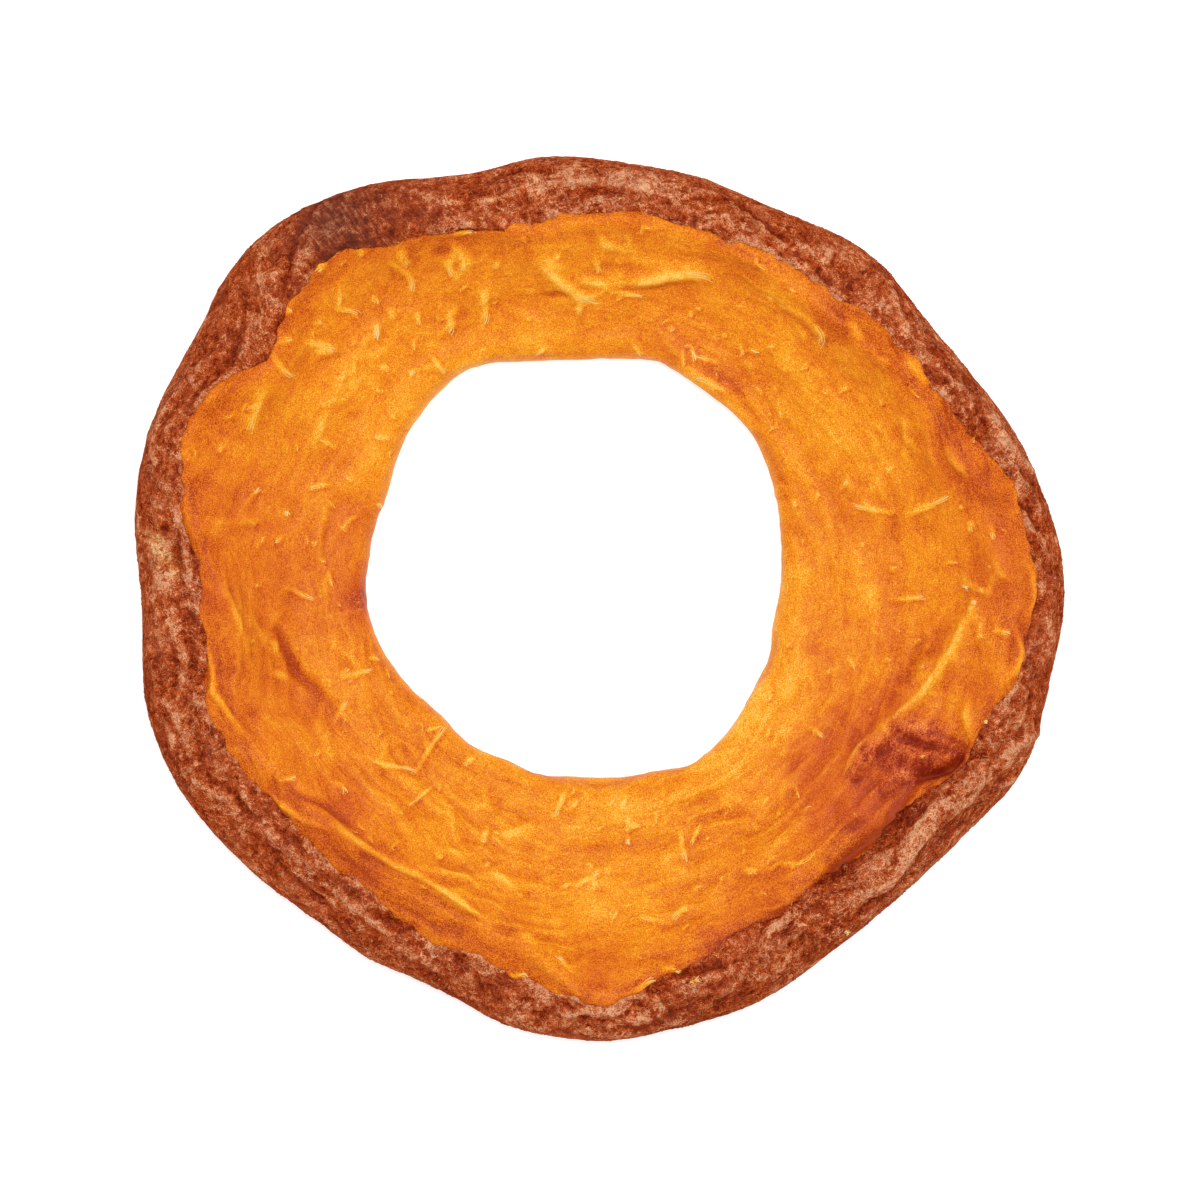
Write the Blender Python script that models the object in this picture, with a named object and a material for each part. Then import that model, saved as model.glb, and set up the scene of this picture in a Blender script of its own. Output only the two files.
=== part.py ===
"""A dried slice of apricot.

It is one piece: a shrunken ring of flesh round the hole that the stone left, thin and low at
the hole and thick at the rim, with the fruit's wrinkled skin round the outside. The cut face
is up, +X is the slice's long side, and the middle of its outline is over the origin.

Lengths in this file are millimetres until the mesh is scaled to metres. A bearing is an angle
in degrees round the slice, anticlockwise from +X as seen from above. A turn is an angle in
degrees round the ring's section: 0 at the outermost edge, then up over the skin, across the
flesh, down the hole's wall and back along the underside.
"""
import itertools

import bpy
import numpy as np

NAME = "apricot_slice"
COLLECTION = "dried_apricot_slice"
MM = 0.001

# Outlines seen from above: (bearing, distance from the middle).
RIM = [
    (0, 22.9), (8, 22.7), (25, 21.8), (38, 21.1), (50, 21.6), (66, 21.1), (80, 21.5),
    (97, 22.1), (107, 21.9), (117, 23.2), (132, 24.5), (140, 24.4), (147, 23.8), (162, 23.7),
    (178, 22.6), (195, 23.0), (205, 22.7), (218, 21.8), (230, 21.0), (246, 20.8), (258, 21.5),
    (272, 21.8), (290, 21.4), (305, 20.8), (318, 20.9), (327, 21.5), (337, 22.5), (352, 22.6),
]
SKIN_EDGE = [
    (0, 21.5), (10, 21.1), (22, 19.7), (35, 19.4), (50, 18.7), (68, 18.9), (90, 19.1),
    (100, 18.5), (112, 19.6), (130, 21.5), (146, 20.1), (156, 21.8), (165, 21.1), (178, 19.5),
    (188, 19.4), (200, 20.0), (212, 18.7), (230, 18.1), (250, 18.5), (262, 19.3), (269, 20.4),
    (278, 19.1), (292, 18.7), (310, 17.3), (325, 18.4), (340, 20.0), (352, 20.9),
]
HOLE = [
    (0, 8.9), (15, 9.3), (40, 10.6), (55, 11.3), (75, 12.1), (95, 11.8), (103, 12.0),
    (118, 13.0), (135, 12.7), (153, 11.6), (162, 11.7), (178, 11.6), (195, 11.0), (212, 9.9),
    (225, 9.7), (242, 9.1), (268, 8.8), (290, 8.9), (300, 9.3), (318, 8.9), (330, 8.7), (352, 8.7),
]

# The crest of the rim: how far it lies inside the skin's edge, and how high it stands.
CREST_INSET = [
    (0, 1.2), (25, 0.8), (45, 1.1), (70, 0.7), (95, 0.4), (115, 0.2), (150, 0.2), (172, 0.6),
    (205, 0.8), (220, 1.1), (238, 2.2), (250, 1.9), (268, 0.8), (285, 0.0), (306, -0.6),
    (314, -1.6), (323, -1.1), (332, -0.4), (345, 0.6),
]
CREST_HEIGHT = [
    (0, 4.9), (40, 5.2), (90, 5.0), (130, 5.6), (180, 5.1), (225, 4.7), (270, 5.0), (315, 5.4),
]
HOLE_HEIGHT = 2.2
WAIST_HEIGHT = 2.1

# The section through the ring, in five runs of key points. Each point starts with its turn.
# Skin: share of the way out from crest to rim, share of the way up from waist to crest.
SKIN_SECTION = [
    (0, 1.0, 0.0), (15, 0.93, 0.35), (31, 0.75, 0.64), (47, 0.46, 0.84), (63, 0.18, 0.96),
    (78, 0.0, 1.0),
]
# Flesh: share of the way in from crest to hole, share of the way down from crest to hole's brim.
FLESH_SECTION = [(94, 0.09, 0.14), (118, 0.27, 0.48), (142, 0.50, 0.77), (166, 0.76, 0.94)]
# The hole's wall: distance outside the hole, share of the brim's height.
WALL_SECTION = [(184, 0.7, 1.0), (193, 0.2, 0.84), (202, 0.0, 0.50), (212, 0.15, 0.15)]
# The seat on the underside: share of the seat's width from the inside.
SEAT_SECTION = [(222, 0.0), (247, 0.25), (272, 0.50), (297, 0.75), (322, 1.0)]
# The rim's foot: distance inside the rim, height.
FOOT_SECTION = [(335, 0.8, 0.35), (347, 0.2, 1.15)]
SEAT_FROM_HOLE = 0.6
SEAT_FROM_RIM = 1.9

# Folds and creases long enough to be part of the form: route of (x, y), half width, height.
FOLDS = [
    (((-18.6, 1.9), (-18.3, -0.1), (-17.2, -2.9)), 0.7, 0.35),
    (((-16.6, -1.7), (-14.8, -4.9), (-13.4, -6.1)), 0.9, -0.40),
    (((18.5, -0.2), (17.8, -1.9), (15.6, -4.8), (14.2, -6.5), (12.1, -9.1)), 0.7, 0.50),
    (((17.8, -7.5), (15.6, -8.5), (13.8, -11.1), (9.6, -14.9), (7.3, -16.1)), 0.8, -0.55),
    (((18.9, 3.8), (19.5, 2.1), (19.9, 0.7)), 0.6, 0.35),
    (((1.2, 15.8), (4.3, 16.1), (5.6, 15.6)), 0.7, 0.30),
    (((-2.7, 16.4), (-1.7, 15.4), (-0.4, 14.6)), 0.7, 0.30),
    (((3.0, 12.3), (6.2, 10.0), (8.2, 7.3)), 0.7, 0.30),
    (((14.3, 15.0), (15.8, 11.8), (17.1, 10.5), (18.5, 9.8)), 0.7, 0.35),
    (((11.9, -15.6), (15.4, -11.7), (17.3, -9.7), (21.5, -6.6)), 0.7, 0.40),
]
# How far into its taper a fold ends, and the turn above which folds show.
FOLD_TAPER = 0.08
FOLD_START_TURN = 10.0

# Wrinkles: the depth of the largest, and their spacing. The flesh's run along the ring, so they are
# FLOW times as long as they are wide. The skin's are shallow at the outermost edge, because RIM has
# that edge's own lumps. The seat's pits are the parts of the wrinkles deeper than the threshold.
SKIN_CRAGS = [(0.24, 3.4), (0.14, 1.9)]
EDGE_CALM = 0.8
FLESH_WRINKLES = [(0.28, 2.1), (0.14, 1.5)]
FLOW = 3.0
SEAT_PITS = [(0.45, 3.6)]
PIT_THRESHOLD = 0.1
SKIN_SEED = 11
FLESH_SEED = 23
PIT_SEED = 37

# The mesh: sections round the slice, points round each section, and the plain ring it is made from.
SECTIONS = 120
SECTION_POINTS = 46
RING_RADIUS = 16.0
RING_THICKNESS = 4.0

# The parts of the section, and how gently one gives way to the next, in degrees of turn.
FLESH_TURNS = (78, 192)
SKIN_TURNS = (332, 78)
SEAT_TURNS = (226, 322)
EDGE_TURNS = (352, 8)
SOFT_TURN = 12.0
SEAT_SOFT_TURN = 2.0
EDGE_SOFT_TURN = 25.0
SKIN_LOWEST = 0.2

FLESH_COLOUR = (0.80, 0.27, 0.015, 1.0)
FLESH_ROUGHNESS = 0.55
SKIN_COLOUR = (0.38, 0.075, 0.022, 1.0)
SKIN_ROUGHNESS = 0.65


def smooth_loop(stations, values, at):
    """Read, at each place in at, a smooth closed curve through values[k] at stations[k] degrees.

    A row of values may also hold one number for each place in at.
    """
    stations = np.asarray(stations, dtype=float)
    values = np.asarray(values, dtype=float)
    count = len(stations)
    gaps = np.diff(np.append(stations, stations[0] + 360.0))
    at = np.mod(at, 360.0)
    span = np.searchsorted(stations, at, side="right") - 1

    def value(step):
        rows = (span + step) % count
        return values[rows] if values.ndim == 1 else values[rows, np.arange(len(at))]

    gap_before = gaps[span - 1]
    gap = gaps[span]
    gap_after = gaps[(span + 1) % count]
    before, start, end, after = (value(step) for step in (-1, 0, 1, 2))
    rise = (end - start) / gap
    slope_start = ((start - before) / gap_before * gap + rise * gap_before) / (gap_before + gap)
    slope_end = (rise * gap_after + (after - end) / gap_after * gap) / (gap + gap_after)
    t = (at - stations[span]) / gap
    ease = t * t * (3.0 - 2.0 * t)
    leave = t * (1.0 - t) ** 2 * gap
    arrive = t * t * (t - 1.0) * gap
    return start + (end - start) * ease + slope_start * leave + slope_end * arrive


def outline(table, bearing):
    """The distance or height that a table gives at each bearing."""
    stations, values = zip(*table)
    return smooth_loop(stations, values, bearing)


def section_keys(bearing):
    """The section's key points at each bearing: (turn, distance from the middle, height)."""
    rim = outline(RIM, bearing)
    hole = outline(HOLE, bearing)
    crest = outline(SKIN_EDGE, bearing) - outline(CREST_INSET, bearing)
    top = outline(CREST_HEIGHT, bearing)
    level = np.zeros_like(rim)
    seat_inner = hole + SEAT_FROM_HOLE
    seat_outer = rim - SEAT_FROM_RIM
    keys = []
    for turn, out, up in SKIN_SECTION:
        keys.append((turn, crest + out * (rim - crest), WAIST_HEIGHT + up * (top - WAIST_HEIGHT)))
    for turn, inward, down in FLESH_SECTION:
        keys.append((turn, crest - inward * (crest - hole), top - down * (top - HOLE_HEIGHT)))
    for turn, aside, up in WALL_SECTION:
        keys.append((turn, hole + aside, up * HOLE_HEIGHT + level))
    for turn, share in SEAT_SECTION:
        keys.append((turn, seat_inner + share * (seat_outer - seat_inner), level))
    for turn, aside, height in FOOT_SECTION:
        keys.append((turn, rim - aside, height + level))
    return keys


def smooth_section(bearing, turn):
    """The slice without its wrinkles: distance from the middle and height at each place."""
    turns, distances, heights = zip(*section_keys(bearing))
    distance = smooth_loop(turns, distances, turn)
    height = smooth_loop(turns, heights, turn)
    return distance, np.maximum(height, 0.0)


def section_normal(bearing, turn):
    """The outward direction of the section at each place: its radial and its upward part."""
    distance_on, height_on = smooth_section(bearing, turn + 1.0)
    distance_back, height_back = smooth_section(bearing, turn - 1.0)
    outward = height_on - height_back
    upward = distance_back - distance_on
    length = np.hypot(outward, upward)
    return outward / length, upward / length


def lattice_value(cell, seed):
    """A repeatable number from -1 to 1 for each whole-numbered place."""
    mixed = cell[:, 0] * 73856093 ^ cell[:, 1] * 19349663 ^ cell[:, 2] * 83492791 ^ seed * 2654435761
    mixed = (mixed ^ (mixed >> 13)) * 1274126177 & 0xFFFFFFFF
    mixed = (mixed ^ (mixed >> 16)) * 668265263 & 0xFFFFFFFF
    return mixed / 0x7FFFFFFF - 1.0


def noise(places, seed):
    """Smooth bumps about one unit apart, from -1 to 1."""
    cell = np.floor(places).astype(np.int64)
    part = places - cell
    part = part * part * (3.0 - 2.0 * part)
    total = np.zeros(len(places))
    for corner in itertools.product((0, 1), repeat=3):
        weight = np.prod(np.where(corner, part, 1.0 - part), axis=1)
        total += weight * lattice_value(cell + np.array(corner), seed)
    return total


def wrinkles(places, layers, seed):
    """The sum of several layers of bumps, each with its own depth and spacing."""
    total = np.zeros(len(places))
    for number, (depth, spacing) in enumerate(layers):
        total += depth * noise(places / spacing, seed + number)
    return total


def between(turn, start, end, soft=SOFT_TURN):
    """1 where a turn lies from start round to end, fading to 0 outside over the soft angle."""
    width = (end - start) % 360.0
    middle = start + 0.5 * width
    away = np.abs((turn - middle + 180.0) % 360.0 - 180.0) - 0.5 * width
    return np.clip(1.0 - away / soft, 0.0, 1.0)


def near_route(x, y, route, half_width):
    """How close each place is to a tapering route: 1 on its middle, 0 a few half widths away."""
    route = np.array(route)
    steps = np.diff(route, axis=0)
    lengths = np.hypot(*steps.T)
    starts = np.concatenate(([0.0], np.cumsum(lengths)))
    nearness = np.zeros_like(x)
    for (from_x, from_y), (step_x, step_y), length, start in zip(route, steps, lengths, starts):
        share = ((x - from_x) * step_x + (y - from_y) * step_y) / length ** 2
        share = np.clip(share, 0.0, 1.0)
        away = np.hypot(x - from_x - share * step_x, y - from_y - share * step_y)
        along = (start + share * length) / starts[-1]
        taper = np.sin(np.pi * (FOLD_TAPER + (1.0 - 2.0 * FOLD_TAPER) * along))
        nearness = np.maximum(nearness, taper * np.exp(-((away / half_width) ** 2)))
    return nearness


def relief(bearing, turn):
    """How far each place stands out of the smooth slice, or sinks into it where negative."""
    distance, height = smooth_section(bearing, turn)
    east = np.cos(np.radians(bearing))
    north = np.sin(np.radians(bearing))
    x = distance * east
    y = distance * north
    places = np.stack((x, y, height), axis=1)
    flow_places = np.stack((east * RING_RADIUS / FLOW, north * RING_RADIUS / FLOW, distance), axis=1)
    calm = 1.0 - EDGE_CALM * between(turn, *EDGE_TURNS, soft=EDGE_SOFT_TURN)
    crags = wrinkles(places, SKIN_CRAGS, SKIN_SEED) * between(turn, *SKIN_TURNS) * calm
    ridges = wrinkles(flow_places, FLESH_WRINKLES, FLESH_SEED) * between(turn, *FLESH_TURNS)
    folds = sum(height_of * near_route(x, y, route, width) for route, width, height_of in FOLDS)
    folds = folds * between(turn, FOLD_START_TURN, FLESH_TURNS[1])
    pits = np.minimum(wrinkles(places, SEAT_PITS, PIT_SEED) + PIT_THRESHOLD, 0.0)
    pits = pits * between(turn, *SEAT_TURNS, soft=SEAT_SOFT_TURN)
    return crags + ridges + folds + pits


def slice_points(bearing, turn):
    """The finished surface in mm, one row of x, y, z for each place."""
    distance, height = smooth_section(bearing, turn)
    outward, upward = section_normal(bearing, turn)
    stand = relief(bearing, turn)
    distance = distance + outward * stand
    height = np.maximum(height + upward * stand, 0.0)
    angle = np.radians(bearing)
    return np.stack((distance * np.cos(angle), distance * np.sin(angle), height), axis=1)


def ring_places(mesh):
    """The bearing and the turn of each vertex of the plain ring."""
    flat = np.empty(len(mesh.vertices) * 3)
    mesh.vertices.foreach_get("co", flat)
    x, y, z = flat.reshape(-1, 3).T
    bearing = np.degrees(np.arctan2(y, x)) % 360.0
    turn = np.degrees(np.arctan2(z, np.hypot(x, y) - RING_RADIUS)) % 360.0
    return bearing, turn


def make_material(name, colour, roughness):
    material = bpy.data.materials.new(name)
    material.use_nodes = True
    shader = material.node_tree.nodes["Principled BSDF"]
    shader.inputs["Base Color"].default_value = colour
    shader.inputs["Roughness"].default_value = roughness
    shader.inputs["Metallic"].default_value = 0.0
    return material


def colour_skin(mesh):
    """Give the skin's material to the faces outside the skin's edge, down to the underside."""
    for face in mesh.polygons:
        x, y, z = face.center / MM
        edge = outline(SKIN_EDGE, np.degrees(np.arctan2([y], [x])))[0]
        underneath = z < SKIN_LOWEST
        face.material_index = int(np.hypot(x, y) > edge and not underneath)


def make_slice(collection):
    bpy.ops.mesh.primitive_torus_add(
        major_segments=SECTIONS,
        minor_segments=SECTION_POINTS,
        major_radius=RING_RADIUS,
        minor_radius=RING_THICKNESS,
        generate_uvs=False,
    )
    ring = bpy.context.active_object
    ring.name = NAME
    mesh = ring.data
    mesh.name = NAME
    bearing, turn = ring_places(mesh)
    mesh.vertices.foreach_set("co", (slice_points(bearing, turn) * MM).ravel())
    mesh.update()
    mesh.shade_smooth()
    mesh.materials.append(make_material("dried_flesh", FLESH_COLOUR, FLESH_ROUGHNESS))
    mesh.materials.append(make_material("dried_skin", SKIN_COLOUR, SKIN_ROUGHNESS))
    colour_skin(mesh)
    for holder in ring.users_collection:
        holder.objects.unlink(ring)
    collection.objects.link(ring)
    return ring


def main():
    for item in list(bpy.data.objects):
        bpy.data.objects.remove(item, do_unlink=True)
    collection = bpy.data.collections.new(COLLECTION)
    bpy.context.scene.collection.children.link(collection)
    make_slice(collection)


main()
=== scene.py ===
import functools
import itertools
import math

import bpy
import numpy as np
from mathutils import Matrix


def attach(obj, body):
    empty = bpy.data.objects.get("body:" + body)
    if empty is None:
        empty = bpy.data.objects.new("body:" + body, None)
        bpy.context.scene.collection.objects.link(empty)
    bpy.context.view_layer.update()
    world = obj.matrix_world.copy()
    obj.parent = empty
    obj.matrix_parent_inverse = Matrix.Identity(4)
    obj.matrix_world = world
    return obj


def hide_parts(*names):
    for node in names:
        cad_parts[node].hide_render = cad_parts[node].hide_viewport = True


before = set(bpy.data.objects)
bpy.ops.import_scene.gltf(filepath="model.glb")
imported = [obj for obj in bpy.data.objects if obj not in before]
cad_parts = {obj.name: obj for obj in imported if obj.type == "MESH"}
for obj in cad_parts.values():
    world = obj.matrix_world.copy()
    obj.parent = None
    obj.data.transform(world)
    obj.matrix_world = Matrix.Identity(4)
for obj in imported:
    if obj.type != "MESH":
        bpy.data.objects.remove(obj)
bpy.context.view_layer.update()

# FORM
# The form of the slice, the same as the solid's. Lengths are millimetres. A bearing is an angle
# in degrees round the slice, anticlockwise from +X as seen from above. A turn is an angle in
# degrees round the ring's section: 0 at the outermost edge, then up over the skin, across the
# flesh, down the hole's wall and back along the underside.
NODE = "apricot_slice"
MM = 0.001

RIM = [
    (0, 22.9), (8, 22.7), (25, 21.8), (38, 21.1), (50, 21.6), (66, 21.1), (80, 21.5),
    (97, 22.1), (107, 21.9), (117, 23.2), (132, 24.5), (140, 24.4), (147, 23.8), (162, 23.7),
    (178, 22.6), (195, 23.0), (205, 22.7), (218, 21.8), (230, 21.0), (246, 20.8), (258, 21.5),
    (272, 21.8), (290, 21.4), (305, 20.8), (318, 20.9), (327, 21.5), (337, 22.5), (352, 22.6),
]
SKIN_EDGE = [
    (0, 21.5), (10, 21.1), (22, 19.7), (35, 19.4), (50, 18.7), (68, 18.9), (90, 19.1),
    (100, 18.5), (112, 19.6), (130, 21.5), (146, 20.1), (156, 21.8), (165, 21.1), (178, 19.5),
    (188, 19.4), (200, 20.0), (212, 18.7), (230, 18.1), (250, 18.5), (262, 19.3), (269, 20.4),
    (278, 19.1), (292, 18.7), (310, 17.3), (325, 18.4), (340, 20.0), (352, 20.9),
]
HOLE = [
    (0, 8.9), (15, 9.3), (40, 10.6), (55, 11.3), (75, 12.1), (95, 11.8), (103, 12.0),
    (118, 13.0), (135, 12.7), (153, 11.6), (162, 11.7), (178, 11.6), (195, 11.0), (212, 9.9),
    (225, 9.7), (242, 9.1), (268, 8.8), (290, 8.9), (300, 9.3), (318, 8.9), (330, 8.7), (352, 8.7),
]
CREST_INSET = [
    (0, 1.2), (25, 0.8), (45, 1.1), (70, 0.7), (95, 0.4), (115, 0.2), (150, 0.2), (172, 0.6),
    (205, 0.8), (220, 1.1), (238, 2.2), (250, 1.9), (268, 0.8), (285, 0.0), (306, -0.6),
    (314, -1.6), (323, -1.1), (332, -0.4), (345, 0.6),
]
CREST_HEIGHT = [
    (0, 4.9), (40, 5.2), (90, 5.0), (130, 5.6), (180, 5.1), (225, 4.7), (270, 5.0), (315, 5.4),
]
HOLE_HEIGHT = 2.2
WAIST_HEIGHT = 2.1
SKIN_SECTION = [
    (0, 1.0, 0.0), (15, 0.93, 0.35), (31, 0.75, 0.64), (47, 0.46, 0.84), (63, 0.18, 0.96),
    (78, 0.0, 1.0),
]
FLESH_SECTION = [(94, 0.09, 0.14), (118, 0.27, 0.48), (142, 0.50, 0.77), (166, 0.76, 0.94)]
WALL_SECTION = [(184, 0.7, 1.0), (193, 0.2, 0.84), (202, 0.0, 0.50), (212, 0.15, 0.15)]
SEAT_SECTION = [(222, 0.0), (247, 0.25), (272, 0.50), (297, 0.75), (322, 1.0)]
FOOT_SECTION = [(335, 0.8, 0.35), (347, 0.2, 1.15)]
SEAT_FROM_HOLE = 0.6
SEAT_FROM_RIM = 1.9

FOLDS = [
    (((-18.6, 1.9), (-18.3, -0.1), (-17.2, -2.9)), 0.7, 0.35),
    (((-16.6, -1.7), (-14.8, -4.9), (-13.4, -6.1)), 0.9, -0.40),
    (((18.5, -0.2), (17.8, -1.9), (15.6, -4.8), (14.2, -6.5), (12.1, -9.1)), 0.7, 0.50),
    (((17.8, -7.5), (15.6, -8.5), (13.8, -11.1), (9.6, -14.9), (7.3, -16.1)), 0.8, -0.55),
    (((18.9, 3.8), (19.5, 2.1), (19.9, 0.7)), 0.6, 0.35),
    (((1.2, 15.8), (4.3, 16.1), (5.6, 15.6)), 0.7, 0.30),
    (((-2.7, 16.4), (-1.7, 15.4), (-0.4, 14.6)), 0.7, 0.30),
    (((3.0, 12.3), (6.2, 10.0), (8.2, 7.3)), 0.7, 0.30),
    (((14.3, 15.0), (15.8, 11.8), (17.1, 10.5), (18.5, 9.8)), 0.7, 0.35),
    (((11.9, -15.6), (15.4, -11.7), (17.3, -9.7), (21.5, -6.6)), 0.7, 0.40),
]
SKIN_CRAGS = [(0.24, 3.4), (0.14, 1.9)]
EDGE_CALM = 0.8
FLESH_WRINKLES = [(0.28, 2.1), (0.14, 1.5)]
FLOW = 3.0
SEAT_PITS = [(0.45, 3.6)]
RING_RADIUS = 16.0
FLESH_TURNS = (78, 192)
SKIN_TURNS = (332, 78)
SEAT_TURNS = (226, 322)
EDGE_TURNS = (352, 8)
FOLD_TURNS = (10, 192)

# SURFACE
# The surface finer than the solid's. The outlines seen from above are (bearing, distance from the
# middle): the skin's edge on the cut face, the rim and the hole. A layer of bumps is (depth,
# spacing). A row of the tables of folds and strands is (half width, height or paleness, points of
# its route seen from above). A row of the tables of spots is (x, y, radius, strength).
CUT_EDGE = [
    (0, 21.3), (10, 21.1), (15, 20.9), (20, 20.1), (25, 19.7), (35, 19.4), (45, 19.1), (55, 18.6), (62, 18.8),
    (73, 18.7), (90, 18.9), (100, 18.6), (115, 19.5), (120, 20.0), (125, 20.9), (130, 21.3), (135, 20.8),
    (140, 20.5), (145, 20.0), (150, 21.4), (155, 21.9), (165, 21.1), (170, 20.6), (175, 19.5), (182, 19.4),
    (187, 19.3), (195, 19.8), (205, 19.4), (213, 18.7), (222, 18.4), (230, 18.2), (237, 18.3), (245, 18.6),
    (250, 18.2), (255, 18.7), (260, 19.0), (270, 19.7), (275, 19.4), (280, 18.6), (287, 18.0), (295, 17.5),
    (300, 17.6), (310, 17.2), (315, 17.6), (325, 17.7), (335, 19.3), (340, 19.6), (350, 20.7), (355, 20.8),
]
RIM_OUTLINE = [
    (0, 22.9), (5, 22.9), (15, 22.4), (20, 22.2), (30, 21.5), (40, 21.2), (52, 21.6), (67, 21.1), (77, 21.4),
    (85, 21.5), (98, 22.0), (105, 21.9), (110, 22.2), (120, 23.5), (135, 24.5), (147, 23.8), (160, 23.7),
    (170, 23.3), (180, 22.6), (195, 23.0), (205, 22.7), (215, 22.0), (230, 21.1), (237, 21.1), (245, 20.8),
    (250, 20.9), (257, 21.5), (264, 21.7), (272, 21.8), (280, 21.5), (290, 21.4), (305, 20.8), (320, 21.0),
    (330, 21.7), (336, 22.4), (350, 22.6),
]
HOLE_OUTLINE = [
    (0, 8.9), (12, 9.2), (25, 9.8), (35, 10.4), (47, 11.1), (60, 11.5), (70, 11.8), (75, 12.1), (82, 12.0),
    (95, 11.9), (105, 12.2), (120, 13.1), (130, 12.9), (142, 12.4), (155, 11.7), (162, 11.7), (170, 11.6),
    (178, 11.6), (190, 11.2), (203, 10.5), (215, 9.8), (230, 9.6), (240, 9.2), (250, 9.2), (262, 8.9),
    (277, 8.9), (290, 9.0), (297, 9.3), (310, 9.2), (325, 8.9), (331, 8.8), (340, 8.9), (353, 8.7),
]
EDGE_WANDER = [(0.14, 1.1), (0.12, 0.5), (0.08, 0.24)]
FLOW_STRENGTH = [
    (0, 0.5), (40, 0.6), (90, 0.3), (150, 0.3), (190, 0.8), (230, 1.1), (280, 1.0), (310, 1.1), (335, 0.8),
]
FLOW_LINES = [(0.070, 0.62), (0.045, 0.34)]
FLOW_STRETCH = 6.0
FLESH_GRAIN = [(0.070, 1.15), (0.035, 0.50)]
SKIN_CREASES = [(0.160, 1.70), (0.060, 0.70)]
SKIN_CRUMPLE = [(0.060, 0.85), (0.050, 0.36)]
CREASE_STRETCH = 2.2
FINE_CALM = 0.7
SKIN_FOLD_TURNS = (10, 90)
FLESH_DETAIL_TURNS = (40, 215)
SKIN_MM_PER_TURN = 0.055

# Fine stripes run across the rim in one patch. They are bumps one unit apart on a ring so large
# that they lie close together, and they change slowly from turn to turn.
STRIPE_DEPTH = 0.05
STRIPE_RADIUS = 70.0
STRIPE_RUN = 0.02

# The skin stands SKIN_LIFT over the slice's surface, and its inner side lies SKIN_DEPTH under it.
# Its ends, on the cut face and below, are rolled in by SKIN_ROLL. The flesh dips under it by
# SKIN_TUCK.
SKIN_LIFT = 0.07
SKIN_TUCK = 0.35
SKIN_DEPTH = 0.50
SKIN_ROLL = 0.3
SKIN_ROLL_TURNS = 2.5
SKIN_END_TURN = -35.0

# The rim and the hole's wall are moved onto their outlines: the turn at which each is measured,
# the turns that move with it and, round the slice, how many half degrees the move is smoothed by.
RIM_TURN = 5.0
RIM_MOVE = {"start": -8.0, "end": 14.0, "soft": 30.0}
HOLE_TURN = 202.0
HOLE_MOVE = {"start": 194.0, "end": 210.0, "soft": 20.0}
MOVE_REACH = 6

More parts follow.
